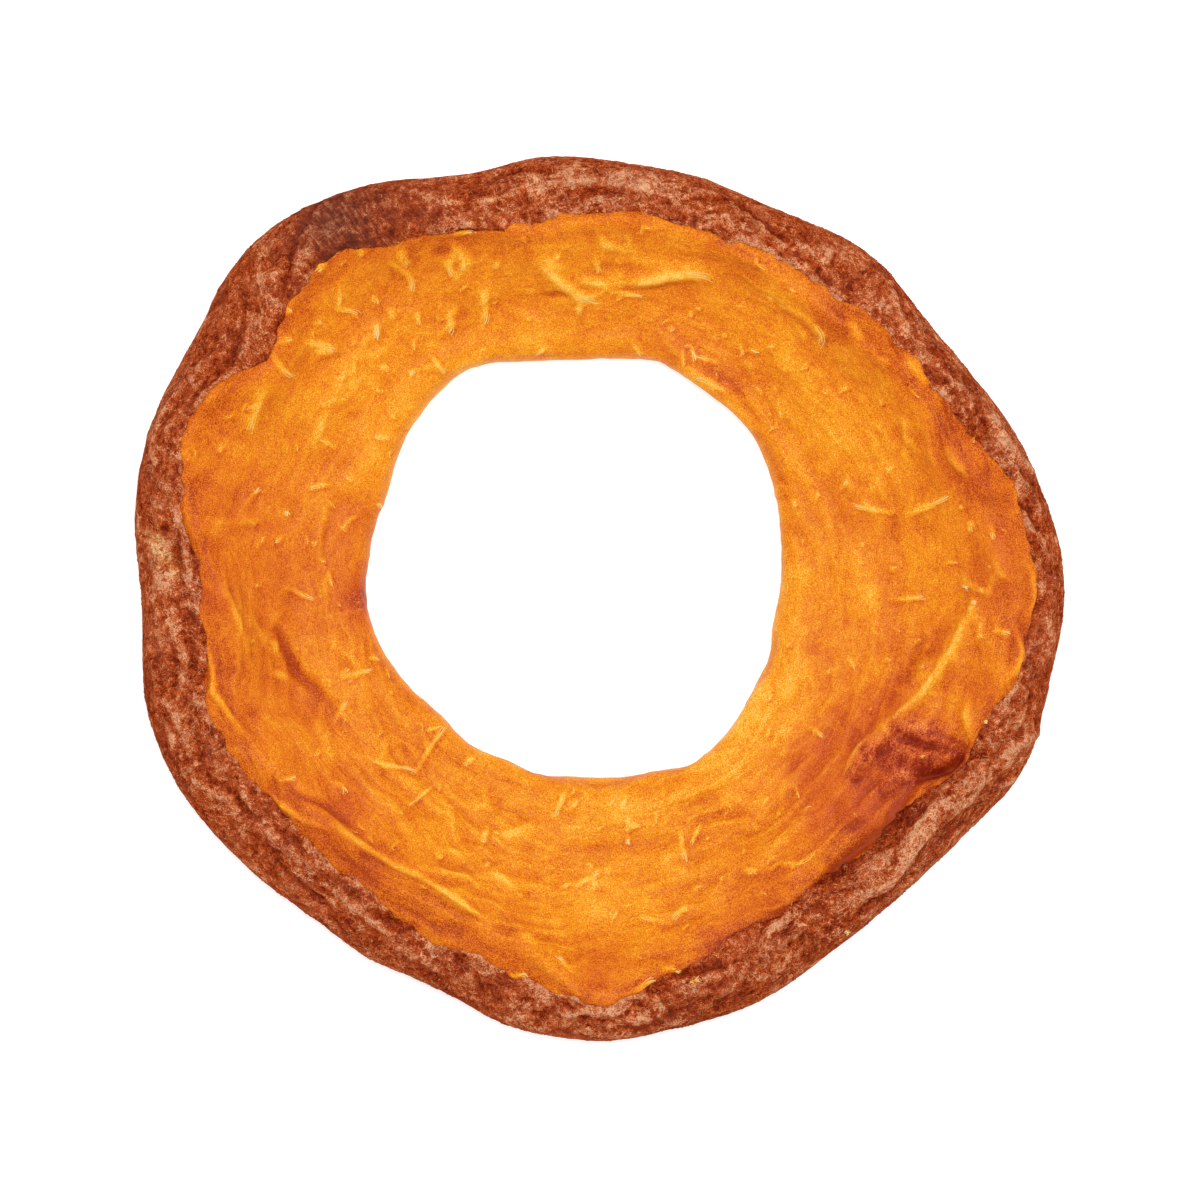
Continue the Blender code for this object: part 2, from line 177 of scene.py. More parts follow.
STRANDS = [
    (0.2, 0.7, (0.9, 15.6), (2.3, 15.7), (3.5, 16), (4.5, 16.1), (5.3, 15.9), (5.8, 15.5)),
    (0.08, 0.6, (0.4, 15.2), (1.2, 15.1), (2.3, 14.9)),
    (0.2, 0.8, (-2.8, 16.4), (-2.2, 16), (-1.5, 15.4), (-0.6, 14.8), (0, 14.6)),
    (0.13, 0.8, (8.4, 14.4), (9.2, 14.2), (10.1, 13.7), (10.9, 12.8), (10.7, 12.3)),
    (0.12, 0.6, (-10.3, 16.5), (-9.9, 16.2), (-9.4, 15.9), (-9.2, 15.5), (-9.3, 15)),
    (0.2, 0.1, (-9.8, 17.1), (-9.5, 16.5), (-9.3, 16.3)),
    (0.08, 0.4, (-12.8, 15.4), (-12.7, 14.8), (-12.8, 14.2), (-12.2, 14.1), (-11.8, 13.7)),
    (0.15, 0.3, (-7.1, 17.2), (-7.1, 16.7), (-7.4, 16.4), (-7.3, 16), (-7.1, 15.9)),
    (0.12, 0.2, (-6.8, 16.8), (-6.7, 16.4), (-6.8, 16.1)),
    (0.12, 0.5, (-7.2, 18), (-7, 17.7), (-6.4, 17.9), (-6.1, 17.7)),
    (0.14, 0.5, (-5.4, 15.3), (-5.7, 15.1), (-5.6, 14.3), (-5.8, 13.4)),
    (0.1, 0.3, (-4.9, 16.5), (-5.2, 16.3)),
    (0.16, 0.9, (-13.4, 16.5), (-13.6, 16.3), (-13.8, 16)),
    (0.14, 0.4, (-11.6, 17.1), (-11.7, 16.7)),
    (0.1, 0.6, (-11.3, 14.7), (-11, 14.7), (-10.9, 14.4)),
    (0.12, 0.1, (-10.3, 14.4), (-10.2, 13.8)),
    (0.09, 0.4, (-9, 14.2), (-8.9, 13.5)),
    (0.15, 0.7, (-7, 14.4), (-7.4, 13.9), (-7.3, 13.6), (-7.5, 13)),
    (0.08, 0.6, (-14, 13.5), (-13.6, 13.6)),
    (0.13, 1, (-11, 13.6), (-11, 12.8)),
    (0.12, 0.8, (-15.4, 14), (-15, 14.1)),
    (0.1, 0.6, (-15.7, 12.4), (-15.5, 12.6), (-15, 12.7)),
    (0.1, 0.3, (-14, 12.1), (-13.1, 12.2)),
    (0.12, 0.7, (-9.4, 11.2), (-9.1, 11.1)),
    (0.1, 0.3, (-10.8, 11.5), (-10.4, 11.3)),
    (0.12, 0.1, (-1, 14.6), (-1, 14)),
    (0.08, 0.7, (-13.7, 2), (-13.6, 1.8)),
    (0.09, 0.4, (-0.2, 16.9), (0, 16.1)),
    (0.06, 0.3, (-3.8, 17.7), (-3.6, 17.4)),
    (0.11, 0.5, (-16, 12), (-15.6, 11.3), (-15, 10.9)),
    (0.13, 0.5, (-14.4, 12.6), (-13.8, 12.5), (-13, 12.3)),
    (0.16, 0.3, (-16.6, 10.2), (-17, 9.2), (-17.3, 8.1)),
    (0.08, 0.5, (-8.3, 12), (-7.6, 11.1)),
    (0.06, 0.9, (-9.2, 12.8), (-9.1, 12.2)),
    (0.07, 0.6, (-2.7, 12.4), (-3.1, 12)),
    (0.07, 0.7, (4.1, 12.4), (4.2, 11.6)),
    (0.09, 1, (4.5, 12.4), (4.8, 11.8)),
    (0.08, 0.5, (6.1, 11.6), (5.4, 11.8), (4.8, 12)),
    (0.07, 1, (7.4, 12.3), (7.9, 12.2)),
    (0.08, 0.4, (6.9, 12.6), (7.1, 12)),
    (0.09, 0.8, (3.5, 13.5), (3.6, 13.2)),
    (0.08, 0.3, (4.5, 14.3), (4.5, 13.9)),
    (0.09, 0.3, (1.6, 12.6), (2.1, 12)),
    (0.09, 0.7, (6.4, 10.2), (5.6, 10.8), (4.8, 11.2)),
    (0.06, 0.5, (7.6, 17), (7.7, 16.4), (8.2, 16.1)),
    (0.1, 0.3, (14.7, 4.2), (13.5, 4.4), (12.4, 4.6)),
    (0.1, 0.6, (15.1, 4.1), (16.3, 4.6), (17.2, 5.1)),
    (0.07, 0.7, (9.6, 4.9), (9.6, 4.5)),
    (0.12, 0.5, (18.3, 3.9), (18.2, 3.3)),
    (0.08, 0.5, (19.2, 3.7), (19.4, 2.9)),
    (0.08, 0.7, (-17.5, 4.6), (-17.2, 5), (-16.8, 5.5)),
    (0.08, 0.7, (-13.2, 5.7), (-13.8, 5.6), (-14.4, 5.4)),
    (0.08, 0.8, (-15.6, 3.1), (-16, 2.8)),
    (0.07, 0.5, (-17, 2.4), (-16.5, 3.1)),
    (0.13, 1, (-15.5, 4.4), (-15.4, 4.1)),
    (0.07, 0.8, (-18.6, 7.5), (-18.6, 7.2)),
    (0.06, 0.6, (-15, 7.7), (-14.9, 7.3)),
    (0.07, 0.6, (-12.9, 7.4), (-13.8, 7.9)),
    (0.09, 0.8, (-10.3, 7.9), (-11.1, 8)),
    (0.06, 0.6, (-10.3, 9.1), (-10.1, 8.9)),
    (0.08, 0.7, (-12.2, 5.8), (-12.5, 6)),
    (0.06, 0.5, (-13.4, 4.8), (-13, 4.5)),
    (0.07, 0.8, (-11.8, 4.2), (-12.3, 3.9), (-12.8, 3.4)),
    (0.11, 1, (-10.9, 4.7), (-10.7, 4.5)),
    (0.1, 0.8, (-14.2, 2.8), (-14, 2.7)),
    (0.07, 0.7, (-13.4, 1.4), (-13.2, 0.6)),
    (0.08, 0.3, (-15.5, 0.7), (-14.8, 0.3), (-14.1, 0)),
    (0.09, 0.6, (-12.7, -3.9), (-12.4, -3.4)),
    (0.09, 0.6, (-12.7, -3.9), (-11.2, -3.5)),
    (0.08, 0.4, (-13.1, -6.2), (-12.5, -5)),
    (0.07, 0.7, (-11.4, -2.9), (-10.8, -3)),
    (0.07, 0.5, (-10.5, -3.3), (-10.3, -3.9)),
    (0.08, 0.7, (-11.7, -7.7), (-10.7, -8.2), (-9.7, -8.3), (-9, -8.5)),
    (0.08, 0.4, (-9, -8.5), (-8.4, -7.4), (-7.6, -6.3)),
    (0.06, 0.8, (-8.1, -9.1), (-8.8, -9.7), (-9.4, -10.2)),
    (0.1, 0.4, (-6.1, -7.7), (-6.7, -8.2)),
    (0.07, 0.5, (-8.6, -6.5), (-7.8, -6.3)),
    (0.09, 0.7, (-15.8, -8.9), (-14.9, -8.8)),
    (0.09, 0.7, (-13.1, -9), (-12.7, -9.2), (-12.5, -9.6)),
    (0.12, 0.6, (-5.5, -11.2), (-5.8, -12.1)),
    (0.1, 0.6, (-1.6, -9.3), (-1.9, -10), (-2.2, -10.7)),
    (0.07, 0.7, (1.3, -9.9), (1.1, -10.2)),
    (0.07, 0.3, (1.4, -10.7), (1.4, -11.5)),
    (0.08, 1, (1.4, -11.8), (1.4, -12.1)),
    (0.09, 0.6, (4, -11.4), (4.1, -12.2), (4.3, -13)),
    (0.08, 0.4, (5, -11.1), (4.5, -12.1)),
    (0.05, 0.4, (2.8, -10.5), (2.8, -11.1)),
    (0.09, 0.8, (-1.2, -14.1), (-0.6, -13.8), (-0.4, -13.7), (0, -13.5)),
    (0.07, 0.8, (-0.4, -13.8), (-0.1, -14.1)),
    (0.07, 0.6, (-1.9, -14.2), (-1.4, -14)),
    (0.07, 0.7, (3.7, -16), (3.4, -15.9), (2.7, -15.8), (1.9, -15.6)),
    (0.11, 0.4, (4.4, -15), (3.6, -15.7)),
    (0.08, 0.9, (-1.1, -18.6), (-1.6, -18.1), (-2.1, -17.5)),
    (0.07, 0.5, (9.6, -9.1), (9.8, -9.8)),
    (0.06, 0.3, (8.2, -13.5), (8.8, -13.1), (9.2, -13.1), (9.8, -13.1), (10.7, -12.4)),
    (0.1, 0.3, (7.2, -13.4), (7.8, -13.5)),
    (0.07, 0.8, (14.3, 1.4), (14.6, 1.6)),
    (0.06, 0.8, (12.8, 1.9), (13, 1.7)),
    (0.09, 1, (17.8, 0.7), (18.2, 0.5)),
    (0.08, 1, (18.3, -0.1), (18.6, -0.2)),
    (0.09, 0.9, (18.6, -1.9), (18.8, -1.8)),
    (0.07, 0.8, (14.6, -1.5), (14.8, -1.6)),
    (0.06, 0.6, (14, -3), (14.4, -3)),
    (0.07, 0.8, (12.3, -2.9), (12.6, -3.5)),
    (0.1, 0.6, (10.4, -6.3), (11, -6.8)),
    (0.06, 0.4, (16.9, 1.8), (17.6, 1.8)),
    (0.08, 0.4, (14.3, 0), (15.1, 0), (16, 0.1)),
    (0.1, 1, (18.9, -5.9), (18.9, -6.1)),
    (0.11, 0.9, (15.8, -7.6), (15.9, -7.8)),
    (0.1, 0.8, (19.3, -1.5), (20.1, -1.7)),
    (0.08, 0.7, (11.8, 5.3), (12.2, 5.8)),
    (0.06, 0.8, (18.5, 8.3), (18.2, 7.6)),
    (0.06, 0.6, (15.1, 10.3), (15.6, 9.8)),
    (0.1, 0.6, (-4.6, -18.3), (-4.2, -18.5), (-3.8, -18.4), (-3.5, -18.6)),
    (0.12, 0.6, (1.5, -19.3), (2, -19.1), (2.3, -18.8), (2.8, -18.7)),
    (0.1, 0.7, (3, -18.2), (3.6, -18.1), (4, -18.3)),
    (0.08, 0.9, (4.3, -18.7), (4.9, -18.5)),
    (0.13, 1, (12, -16.2), (12.2, -16.4)),
    (0.08, 0.5, (4.8, -18.4), (4.4, -18.8)),
]
FLESH_FOLDS = [
    (0.11, 0.15, (-18.6, 2), (-18.5, 0.4), (-17.8, -1.4), (-17.3, -2.7)),
    (0.13, 0.25, (-19.2, -2.2), (-18.9, -3.5), (-18.9, -4.5), (-18.2, -5.6), (-17.4, -6.7)),
    (0.2, 0.08, (-20.4, 6.1), (-20.3, 4.6), (-20, 3.3), (-19.3, 2.5)),
    (0.22, -0.3, (-16.1, -1.1), (-15.7, -1.6), (-14.8, -3.6), (-13.4, -5)),
    (0.15, 0.2, (-15.9, -1.9), (-15.8, -2.7)),
    (0.2, 0.2, (-16, -3.5), (-15.2, -3.9)),
    (0.13, 0.25, (-16.1, -9.6), (-15.8, -10.0), (-14.6, -10.7), (-13.4, -11.2)),
    (0.12, 0.26, (-13.1, -11.0), (-12.1, -11.7), (-11.1, -12.4), (-10.0, -13.0), (-8.9, -13.5)),
    (0.10, 0.22, (-9.6, -13.2), (-8.9, -13.5), (-7.6, -14.3), (-6.4, -15.1), (-5.2, -15.9)),
    (0.15, 0.1, (-9.6, -13), (-7, -13.6), (-4.9, -13.7), (-1.9, -14.4)),
    (0.15, -0.2, (-15.3, -9.4), (-13.3, -10.2), (-11.8, -11.3)),
    (0.12, 0.22, (18.5, -0.2), (17.9, -1.3), (17.5, -2.4), (16.7, -3.7), (15.9, -4.8)),
    (0.12, 0.25, (16.7, -3.7), (15.9, -4.8), (14.6, -5.9), (13.8, -6.4)),
    (0.09, 0.2, (13.5, -6.7), (12.9, -7.2), (12.4, -8), (12.1, -8.9)),
    (0.10, 0.2, (14, -6.2), (14.4, -6.8)),
    (0.15, -0.15, (15.8, -6.6), (16.6, -6.6), (17.8, -7.2)),
    (0.22, -0.35, (5, -17.4), (7.3, -16.1), (9.6, -14.9), (11.9, -12.5), (13.8, -11.1), (15.4, -8.8)),
    (0.17, -0.35, (15.4, -8.8), (16.8, -8.2), (17.7, -7.7)),
    (0.12, 0.2, (19.5, 1.9), (19.7, 1.3), (20, 1)),
    (0.11, 0.2, (17.9, 1.6), (18, 0.9), (18.6, 0.5), (19.1, 0.3), (19.3, 0.8), (19.4, 1.3)),
    (0.09, 0.12, (15.9, -1.1), (16.2, -1.8), (16.1, -2.3), (15.8, -2.9)),
    (0.12, 0.2, (20.3, -1.3), (20.7, -2.6), (20.3, -3.5), (19.7, -4.1)),
    (0.15, 0.2, (18.1, -4.8), (17.9, -5.7), (18.1, -6.7)),
    (0.15, 0.15, (21.2, 1.6), (21.4, 0), (20.9, -1)),
    (0.17, 0.2, (12.1, 13.9), (12.5, 13), (13, 12.6)),
    (0.17, 0.25, (14.9, 11.9), (15.5, 11.1), (16.1, 10.4)),
    (0.1, 0.1, (13.5, 11.8), (14.4, 11.5)),
    (0.15, 0.2, (16.8, 7.9), (17.3, 6.8), (18, 6)),
    (0.1, 0.1, (16.1, 7.6), (16.5, 6.4)),
    (0.17, 0.15, (-0.2, 18.4), (0.2, 17.6), (1, 17.3), (1.8, 17)),
    (0.15, 0.12, (1.4, 18.1), (1.5, 17.3)),
    (0.1, 0.1, (1.9, 18.1), (3, 18.2)),
    (0.15, -0.15, (-3, 14.9), (-1.9, 15.1), (-1.2, 14.7)),
    (0.15, -0.12, (0.5, 15.4), (2.5, 15.4), (4.5, 15.6)),
    (0.2, -0.15, (3.6, 11.9), (5, 11.5), (6.7, 10.6), (8.1, 7.8)),
    (0.2, 0.15, (-7.6, 17.7), (-6.4, 16.6), (-7.3, 15.5)),
    (0.2, -0.12, (-0.5, 16.6), (1, 16.4), (3, 16.4)),
    (0.15, 0.15, (21.7, 4.9), (22, 2.9), (21.7, 0.9)),
]
SKIN_FOLDS = [
    (0.2, 0.3, (14.3, 15), (14.8, 13.7), (15.8, 11.8), (17.2, 10.5), (18.5, 9.8)),
    (0.15, -0.3, (14.7, 15.1), (15, 13.4)),
    (0.2, 0.3, (5, -20.3), (7.6, -17.8), (8.3, -16.3), (10.5, -14.6)),
    (0.2, 0.3, (10.5, -14.6), (11.9, -14.5), (13.7, -13.9), (14.8, -12.9), (15.4, -11.7), (16.6, -10),
     (18.9, -9.8)),
    (0.15, 0.25, (17.3, -8.3), (19.4, -7.7), (21.7, -6.5)),
    (0.15, 0.2, (18.9, -9.6), (20.6, -8.8)),
    (0.17, 0.25, (18.5, 9.8), (19.8, 7.4), (21.5, 5.9)),
    (0.15, 0.2, (20, 7.8), (20.8, 3.9), (22.2, 1.9)),
    (0.2, -0.2, (11.4, -16.1), (12.9, -15.1), (14.3, -14.4), (16.3, -11.9)),
    (0.2, -0.25, (19.8, 8.8), (20.4, 6.4), (21.7, 4.9)),
    (0.15, 0.2, (-14.8, 13.3), (-16.3, 14.8), (-16.7, 16.7)),
    (0.15, -0.2, (-13.3, 20.7), (-14.8, 17.7), (-15.5, 14.8)),
    (0.15, 0.2, (-5.9, 19.2), (-2.9, 20.2), (0, 20.4), (3, 19.9)),
    (0.15, -0.2, (-6.4, 20.2), (-3.9, 21.1), (-1.9, 20.8)),
    (0.17, 0.25, (-17.7, -9.4), (-15.8, -11.9), (-13.3, -13.9)),
    (0.17, 0.25, (-13.3, -13.9), (-9.8, -16.8), (-6.4, -19.1)),
    (0.15, -0.2, (-17.3, -11.4), (-14.8, -13.9), (-11.8, -16.3)),
    (0.15, 0.25, (-4.9, -19.3), (-1.9, -20.3), (0, -20)),
    (0.2, -0.25, (-1.9, -21), (2, -21), (5, -20)),
    (0.15, 0.2, (-21.2, 0), (-20.2, -3), (-20.7, -6)),
    (0.15, -0.2, (-21.7, -2), (-21.4, -5), (-20.2, -7.9)),
    (0.15, 0.2, (-21.2, 5.9), (-20.2, 2.9), (-20, 0)),
    (0.15, 0.2, (-22.2, 7.8), (-20.7, 9.8), (-20.2, 11.8)),
    (0.15, -0.25, (5.9, 20.2), (8.9, 17.7), (11.4, 15.3)),
    (0.15, 0.2, (5, 19.7), (8.4, 16.7), (11.9, 14.8)),
]
BRUISE_LOBES = [
    (0.40, 0.20, (16.9, -2.6), (16.0, -3.5), (15.1, -4.4)),
    (0.42, 0.28, (14.8, -6.2), (16.0, -6.5), (17.1, -6.9)),
    (0.34, 0.30, (13.7, -6.9), (13.0, -7.8), (12.4, -8.9)),
    (0.34, 0.28, (14.5, -7.5), (15.6, -7.7), (16.8, -7.8)),
    (0.12, -0.30, (17.8, -7.2), (16.9, -8.3), (15.2, -8.7)),
    (0.09, -0.25, (14.4, -6.9), (13.7, -8.0), (12.7, -9.2)),
    (0.09, -0.25, (14.9, -6.9), (16.1, -7.2), (17.3, -7.4)),
    (0.08, -0.20, (14.4, -8.2), (13.4, -9.2), (12.5, -10.2)),
    (0.08, -0.20, (15.0, -8.9), (14.0, -9.7), (13.2, -10.6)),
]
FLESH_BLUSH = [
    (14.8, -4.6, 1.0, 0.8), (13.0, -6.0, 1.4, 0.8), (11.4, -8.0, 1.6, 0.9), (16.6, -2.2, 0.9, 0.5),
    (12.4, -9.8, 1.2, 0.8), (10.6, -10.6, 1.4, 0.7), (15.4, -7.4, 2.2, 0.6), (13.0, -2.2, 2.0, 0.15),
    (-12.3, 3.8, 1.6, 0.5), (-11.6, 0.0, 1.3, 1.0), (12.4, 4.0, 1.6, 0.35), (10.8, -2.4, 1.8, 0.30),
    (18.6, -4.6, 1.0, 0.4), (8.0, -14.6, 1.6, 0.5), (6.5, 10.8, 1.0, 0.4), (19.8, 3.0, 1.6, 0.4),
    (-17.6, 5.0, 2.2, 0.35), (-15.4, 0.4, 2.6, 0.30), (-17.0, -4.6, 2.0, 0.40), (6.0, -16.8, 1.2, 0.6),
    (14.0, -11.0, 1.2, 0.8), (20.6, -1.6, 0.9, 0.5), (-14.8, -9.6, 1.6, 0.3), (-11.4, -4.6, 2.0, 0.2),
    (-15.6, 2.0, 5.0, 0.30), (3.6, 12.4, 1.6, 0.4), (9.6, -8.0, 1.2, 0.6), (-12.2, -10.2, 1.6, 0.7),
    (0.0, -18.4, 1.4, 0.5), (-10.8, -12.9, 1.2, 0.4), (11.8, -9.0, 2.0, 0.5), (19.2, 0.8, 1.6, 0.5),
    (17.8, 6.2, 1.6, 0.5), (-19.0, 0.2, 1.0, 0.6), (-15.0, -5.5, 1.6, 0.4),
]
FLESH_BRUISE_SPOTS = [
    (16.2, -3.2, 0.7, 0.4), (15.3, -4.1, 0.5, 0.4), (15.2, -6.6, 0.9, 0.9), (16.4, -6.8, 0.8, 0.8),
    (13.3, -7.7, 0.6, 0.9), (12.6, -8.8, 0.5, 0.9), (14.4, -7.7, 0.8, 0.9), (17.5, -7.6, 0.6, 0.9),
    (16.1, -8.3, 0.8, 0.9), (14.8, -8.7, 0.7, 0.8), (13.7, -9.5, 0.7, 0.6), (6.6, -16.8, 0.6, 0.4),
    (12.4, -10.9, 0.8, 0.4), (-11.7, -0.1, 0.9, 0.75), (11.2, -12.0, 0.8, 0.3), (12.9, -6.6, 1.0, 0.3),
]
# Painted shade: darker flesh by the skin's edge, below the crest at the lower left and along the rim at the
# upper right.
FLESH_SHADE_SPOTS = [
    (-14.2, -11.1, 0.6, 0.6), (-13.2, -11.9, 0.7, 0.7), (-12.3, -12.7, 0.7, 0.8), (-11.3, -13.5, 0.7, 0.8),
    (-10.2, -14.4, 0.7, 0.8), (-9.0, -15.3, 0.7, 0.7), (-7.8, -16.1, 0.7, 0.7), (-6.6, -16.8, 0.7, 0.7),
    (-5.2, -17.4, 0.6, 0.6), (13.2, 12.8, 0.9, 0.5), (15.0, 10.8, 0.9, 0.7), (16.9, 8.0, 1.0, 0.8),
    (18.6, 5.7, 0.8, 0.6), (-17.9, -3.6, 0.7, 0.4), (-4.0, 17.9, 1.0, 0.3), (-14.6, -3.0, 0.5, 0.4),
    (14.2, 12.0, 0.9, 0.7), (11.6, 13.5, 1.0, 0.5),
]
FLESH_GLOW = [
    (8.3, -5.0, 2.2, 1.0), (9.9, 0.4, 1.8, 0.8), (6.8, -7.4, 2.0, 0.9), (-8.6, 9.6, 1.6, 0.8),
    (-10.4, 6.3, 1.3, 0.7), (-12.0, 11.0, 2.6, 0.5), (0.0, -15.0, 3.5, 0.6), (1.0, -10.0, 3.0, 0.4),
    (12.0, 9.0, 3.0, 0.4), (17.6, -5.4, 0.9, 0.8), (0.2, 16.6, 1.6, 0.5), (8.9, -1.2, 1.2, 0.5),
    (-4.0, 13.2, 2.0, 0.4), (-7.0, -10.5, 2.5, 0.3), (12.2, -3.4, 1.0, 0.5), (9.0, 15.5, 1.5, 0.6),
    (3.2, 17.8, 1.6, 0.6), (-3.0, 17.4, 1.6, 0.6), (-6.6, 11.6, 1.0, 0.8),
]
SKIN_STRIPED_SPOTS = [(-12.8, 18.4, 2.2, 1.0), (-9.6, 19.4, 1.6, 0.2)]
SKIN_DARK_SPOTS = [
    *SKIN_STRIPED_SPOTS, (-14.2, 15.6, 0.9, 0.7), (-13.6, -12.8, 1.3, 0.8), (-3.0, 20.2, 1.2, 0.5),
    (10.8, -16.8, 1.5, 0.8), (3.5, -20.0, 1.8, 0.6), (17.4, -10.6, 1.0, 0.6), (-21.0, -3.5, 1.2, 0.4),
]
# Most pale spots are the skin's own paler colour; the three at (15.4, -10.1), (16.9, -8.8) and (13.2, -12.1)
# are painted light that lifts the shade in the groove at the skin's inner edge.
SKIN_PALE_SPOTS = [
    (-21.3, 2.2, 0.9, 1.0), (-2.0, 19.6, 2.2, 0.7), (2.5, 19.6, 2.0, 0.6), (-7.8, 17.9, 0.8, 0.9),
    (20.0, 7.2, 1.2, 0.8), (15.2, -13.4, 1.8, 0.6), (18.6, -9.4, 1.6, 0.6), (8.6, -17.6, 1.4, 0.7),
    (-21.6, 9.0, 1.2, 0.5), (17.0, 13.0, 1.2, 0.5), (0.6, -20.0, 1.2, 0.6), (-19.4, -5.0, 1.4, 0.4),
    (10.2, -15.2, 1.3, 0.6), (12.6, -13.6, 1.2, 0.4), (14.6, -11.6, 1.2, 0.4), (-19.8, 0.4, 1.0, 1.0),
    (3.4, 19.3, 1.2, 0.5), (15.4, -10.1, 0.8, 0.6), (16.9, -8.8, 0.8, 0.6), (13.2, -12.1, 0.8, 0.5),
    (-19.7, -2.0, 0.8, 0.8), (-3.6, -20.4, 1.2, 0.6), (20.4, -7.4, 1.3, 0.4), (16.2, 13.4, 1.0, 0.5),
]
SKIN_SCAR = [(-21.7, 2.9, 0.45, 1.0), (-21.2, 2.1, 0.50, 1.0), (-20.7, 1.4, 0.35, 0.9)]

# Meshes: places round the slice, and rows across the flesh's bands and the skin's two sides. The
# flesh's second band lies round the skin's edge.
FLESH_SECTIONS = 790
FLESH_ROWS = (4, 6, 84, 12, 19)
FLESH_EDGE_BAND = (-5.0, 2.0)
FLESH_WALL_TURNS = (190.0, 222.0)
SKIN_SECTIONS = 1320
SKIN_ROWS = 66
SKIN_INNER_ROWS = 6

# Folds, strands and hairs that are placed at random. Over BUNDLE_WIDTH a strand is a bundle of
# three threads, and over BARE_PALE it stands free and pale along its whole length. STRAND_SHADE
# is where the painted shadow beside a strand lies: a dark line to one side of it.
SEED = 7
SOFT_FOLDS = 90
FOLD_HEIGHT = 0.22
FINE_STRANDS = 110
STRAND_STATIONS = 14
STRAND_SIDES = 5
STRAND_SHADE = (0.08, -0.10)
BUNDLE_WIDTH = 0.075
BARE_PALE = 0.95
FRAY_START = 0.45
HAIRS = 9000
HAIR_STATIONS = 3
HAIR_SIDES = 3
HAIR_LENGTH = (0.08, 0.34)
HAIR_WIDTH = (0.010, 0.022)
HAIR_LIFT = 0.015
HAIR_LOWEST = 0.03

# The photograph's frame: millimetres across, and the middle of the picture.
FRAME_WIDTH = 59.23
FRAME_MIDDLE = (0.02, -0.05)

# The studio, in metres and watts. LIGHT_LEVEL is how bright a white surface looks in it.
LIGHT_LEVEL = 1.40
SKY_LEVEL = 0.95
KEY_PLACE = (0.02, 0.06, 0.33)
KEY_SIZE = 0.16
KEY_POWER = 0.75
FLOOR_SIZE = 4.0
FLOOR_GLOW = 0.5


def smooth_loop(stations, values, at):
    """Read, at each place in at, a smooth closed curve through values[k] at stations[k] degrees."""
    stations = np.asarray(stations, dtype=float)
    values = np.asarray(values, dtype=float)
    count = len(stations)
    gaps = np.diff(np.append(stations, stations[0] + 360.0))
    at = np.mod(at, 360.0)
    span = np.searchsorted(stations, at, side="right") - 1

    def value(step):
        rows = (span + step) % count
        return values[rows] if values.ndim == 1 else values[rows, np.arange(len(at))]

    gap_before = gaps[span - 1]
    gap = gaps[span]
    gap_after = gaps[(span + 1) % count]
    before, start, end, after = (value(step) for step in (-1, 0, 1, 2))
    rise = (end - start) / gap
    slope_start = ((start - before) / gap_before * gap + rise * gap_before) / (gap_before + gap)
    slope_end = (rise * gap_after + (after - end) / gap_after * gap) / (gap + gap_after)
    t = (at - stations[span]) / gap
    ease = t * t * (3.0 - 2.0 * t)
    leave = t * (1.0 - t) ** 2 * gap
    arrive = t * t * (t - 1.0) * gap
    return start + (end - start) * ease + slope_start * leave + slope_end * arrive


def outline(table, bearing):
    """The distance or height that a table gives at each bearing."""
    stations, values = zip(*table)
    return smooth_loop(stations, values, bearing)


def section_keys(bearing):
    """The section's key points at each bearing: (turn, distance from the middle, height)."""
    rim = outline(RIM, bearing)
    hole = outline(HOLE, bearing)
    crest = outline(SKIN_EDGE, bearing) - outline(CREST_INSET, bearing)
    top = outline(CREST_HEIGHT, bearing)
    level = np.zeros_like(rim)
    seat_inner = hole + SEAT_FROM_HOLE
    seat_outer = rim - SEAT_FROM_RIM
    keys = []
    for turn, out, up in SKIN_SECTION:
        keys.append((turn, crest + out * (rim - crest), WAIST_HEIGHT + up * (top - WAIST_HEIGHT)))
    for turn, inward, down in FLESH_SECTION:
        keys.append((turn, crest - inward * (crest - hole), top - down * (top - HOLE_HEIGHT)))
    for turn, aside, up in WALL_SECTION:
        keys.append((turn, hole + aside, up * HOLE_HEIGHT + level))
    for turn, share in SEAT_SECTION:
        keys.append((turn, seat_inner + share * (seat_outer - seat_inner), level))
    for turn, aside, height in FOOT_SECTION:
        keys.append((turn, rim - aside, height + level))
    return keys


def smooth_section(bearing, turn):
    """The slice without its wrinkles: distance from the middle and height at each place."""
    turns, distances, heights = zip(*section_keys(bearing))
    distance = smooth_loop(turns, distances, turn)
    height = smooth_loop(turns, heights, turn)
    return distance, np.maximum(height, 0.0)


def section_normal(bearing, turn):
    """The outward direction of the section at each place: its radial and its upward part."""
    distance_on, height_on = smooth_section(bearing, turn + 1.0)
    distance_back, height_back = smooth_section(bearing, turn - 1.0)
    outward = height_on - height_back
    upward = distance_back - distance_on
    length = np.hypot(outward, upward)
    return outward / length, upward / length


def lattice_value(cell, seed):
    """A repeatable number from -1 to 1 for each whole-numbered place."""
    mixed = cell[:, 0] * 73856093 ^ cell[:, 1] * 19349663 ^ cell[:, 2] * 83492791 ^ seed * 2654435761
    mixed = (mixed ^ (mixed >> 13)) * 1274126177 & 0xFFFFFFFF
    mixed = (mixed ^ (mixed >> 16)) * 668265263 & 0xFFFFFFFF
    return mixed / 0x7FFFFFFF - 1.0


def noise(places, seed):
    """Smooth bumps about one unit apart, from -1 to 1."""
    cell = np.floor(places).astype(np.int64)
    part = places - cell
    part = part * part * (3.0 - 2.0 * part)
    total = np.zeros(len(places))
    for corner in itertools.product((0, 1), repeat=3):
        weight = np.prod(np.where(corner, part, 1.0 - part), axis=1)
        total += weight * lattice_value(cell + np.array(corner), seed)
    return total


def wrinkles(places, layers, seed):
    """The sum of several layers of bumps, each with its own depth and spacing."""
    total = np.zeros(len(places))
    for number, (depth, spacing) in enumerate(layers):
        total += depth * noise(places / spacing, seed + number)
    return total


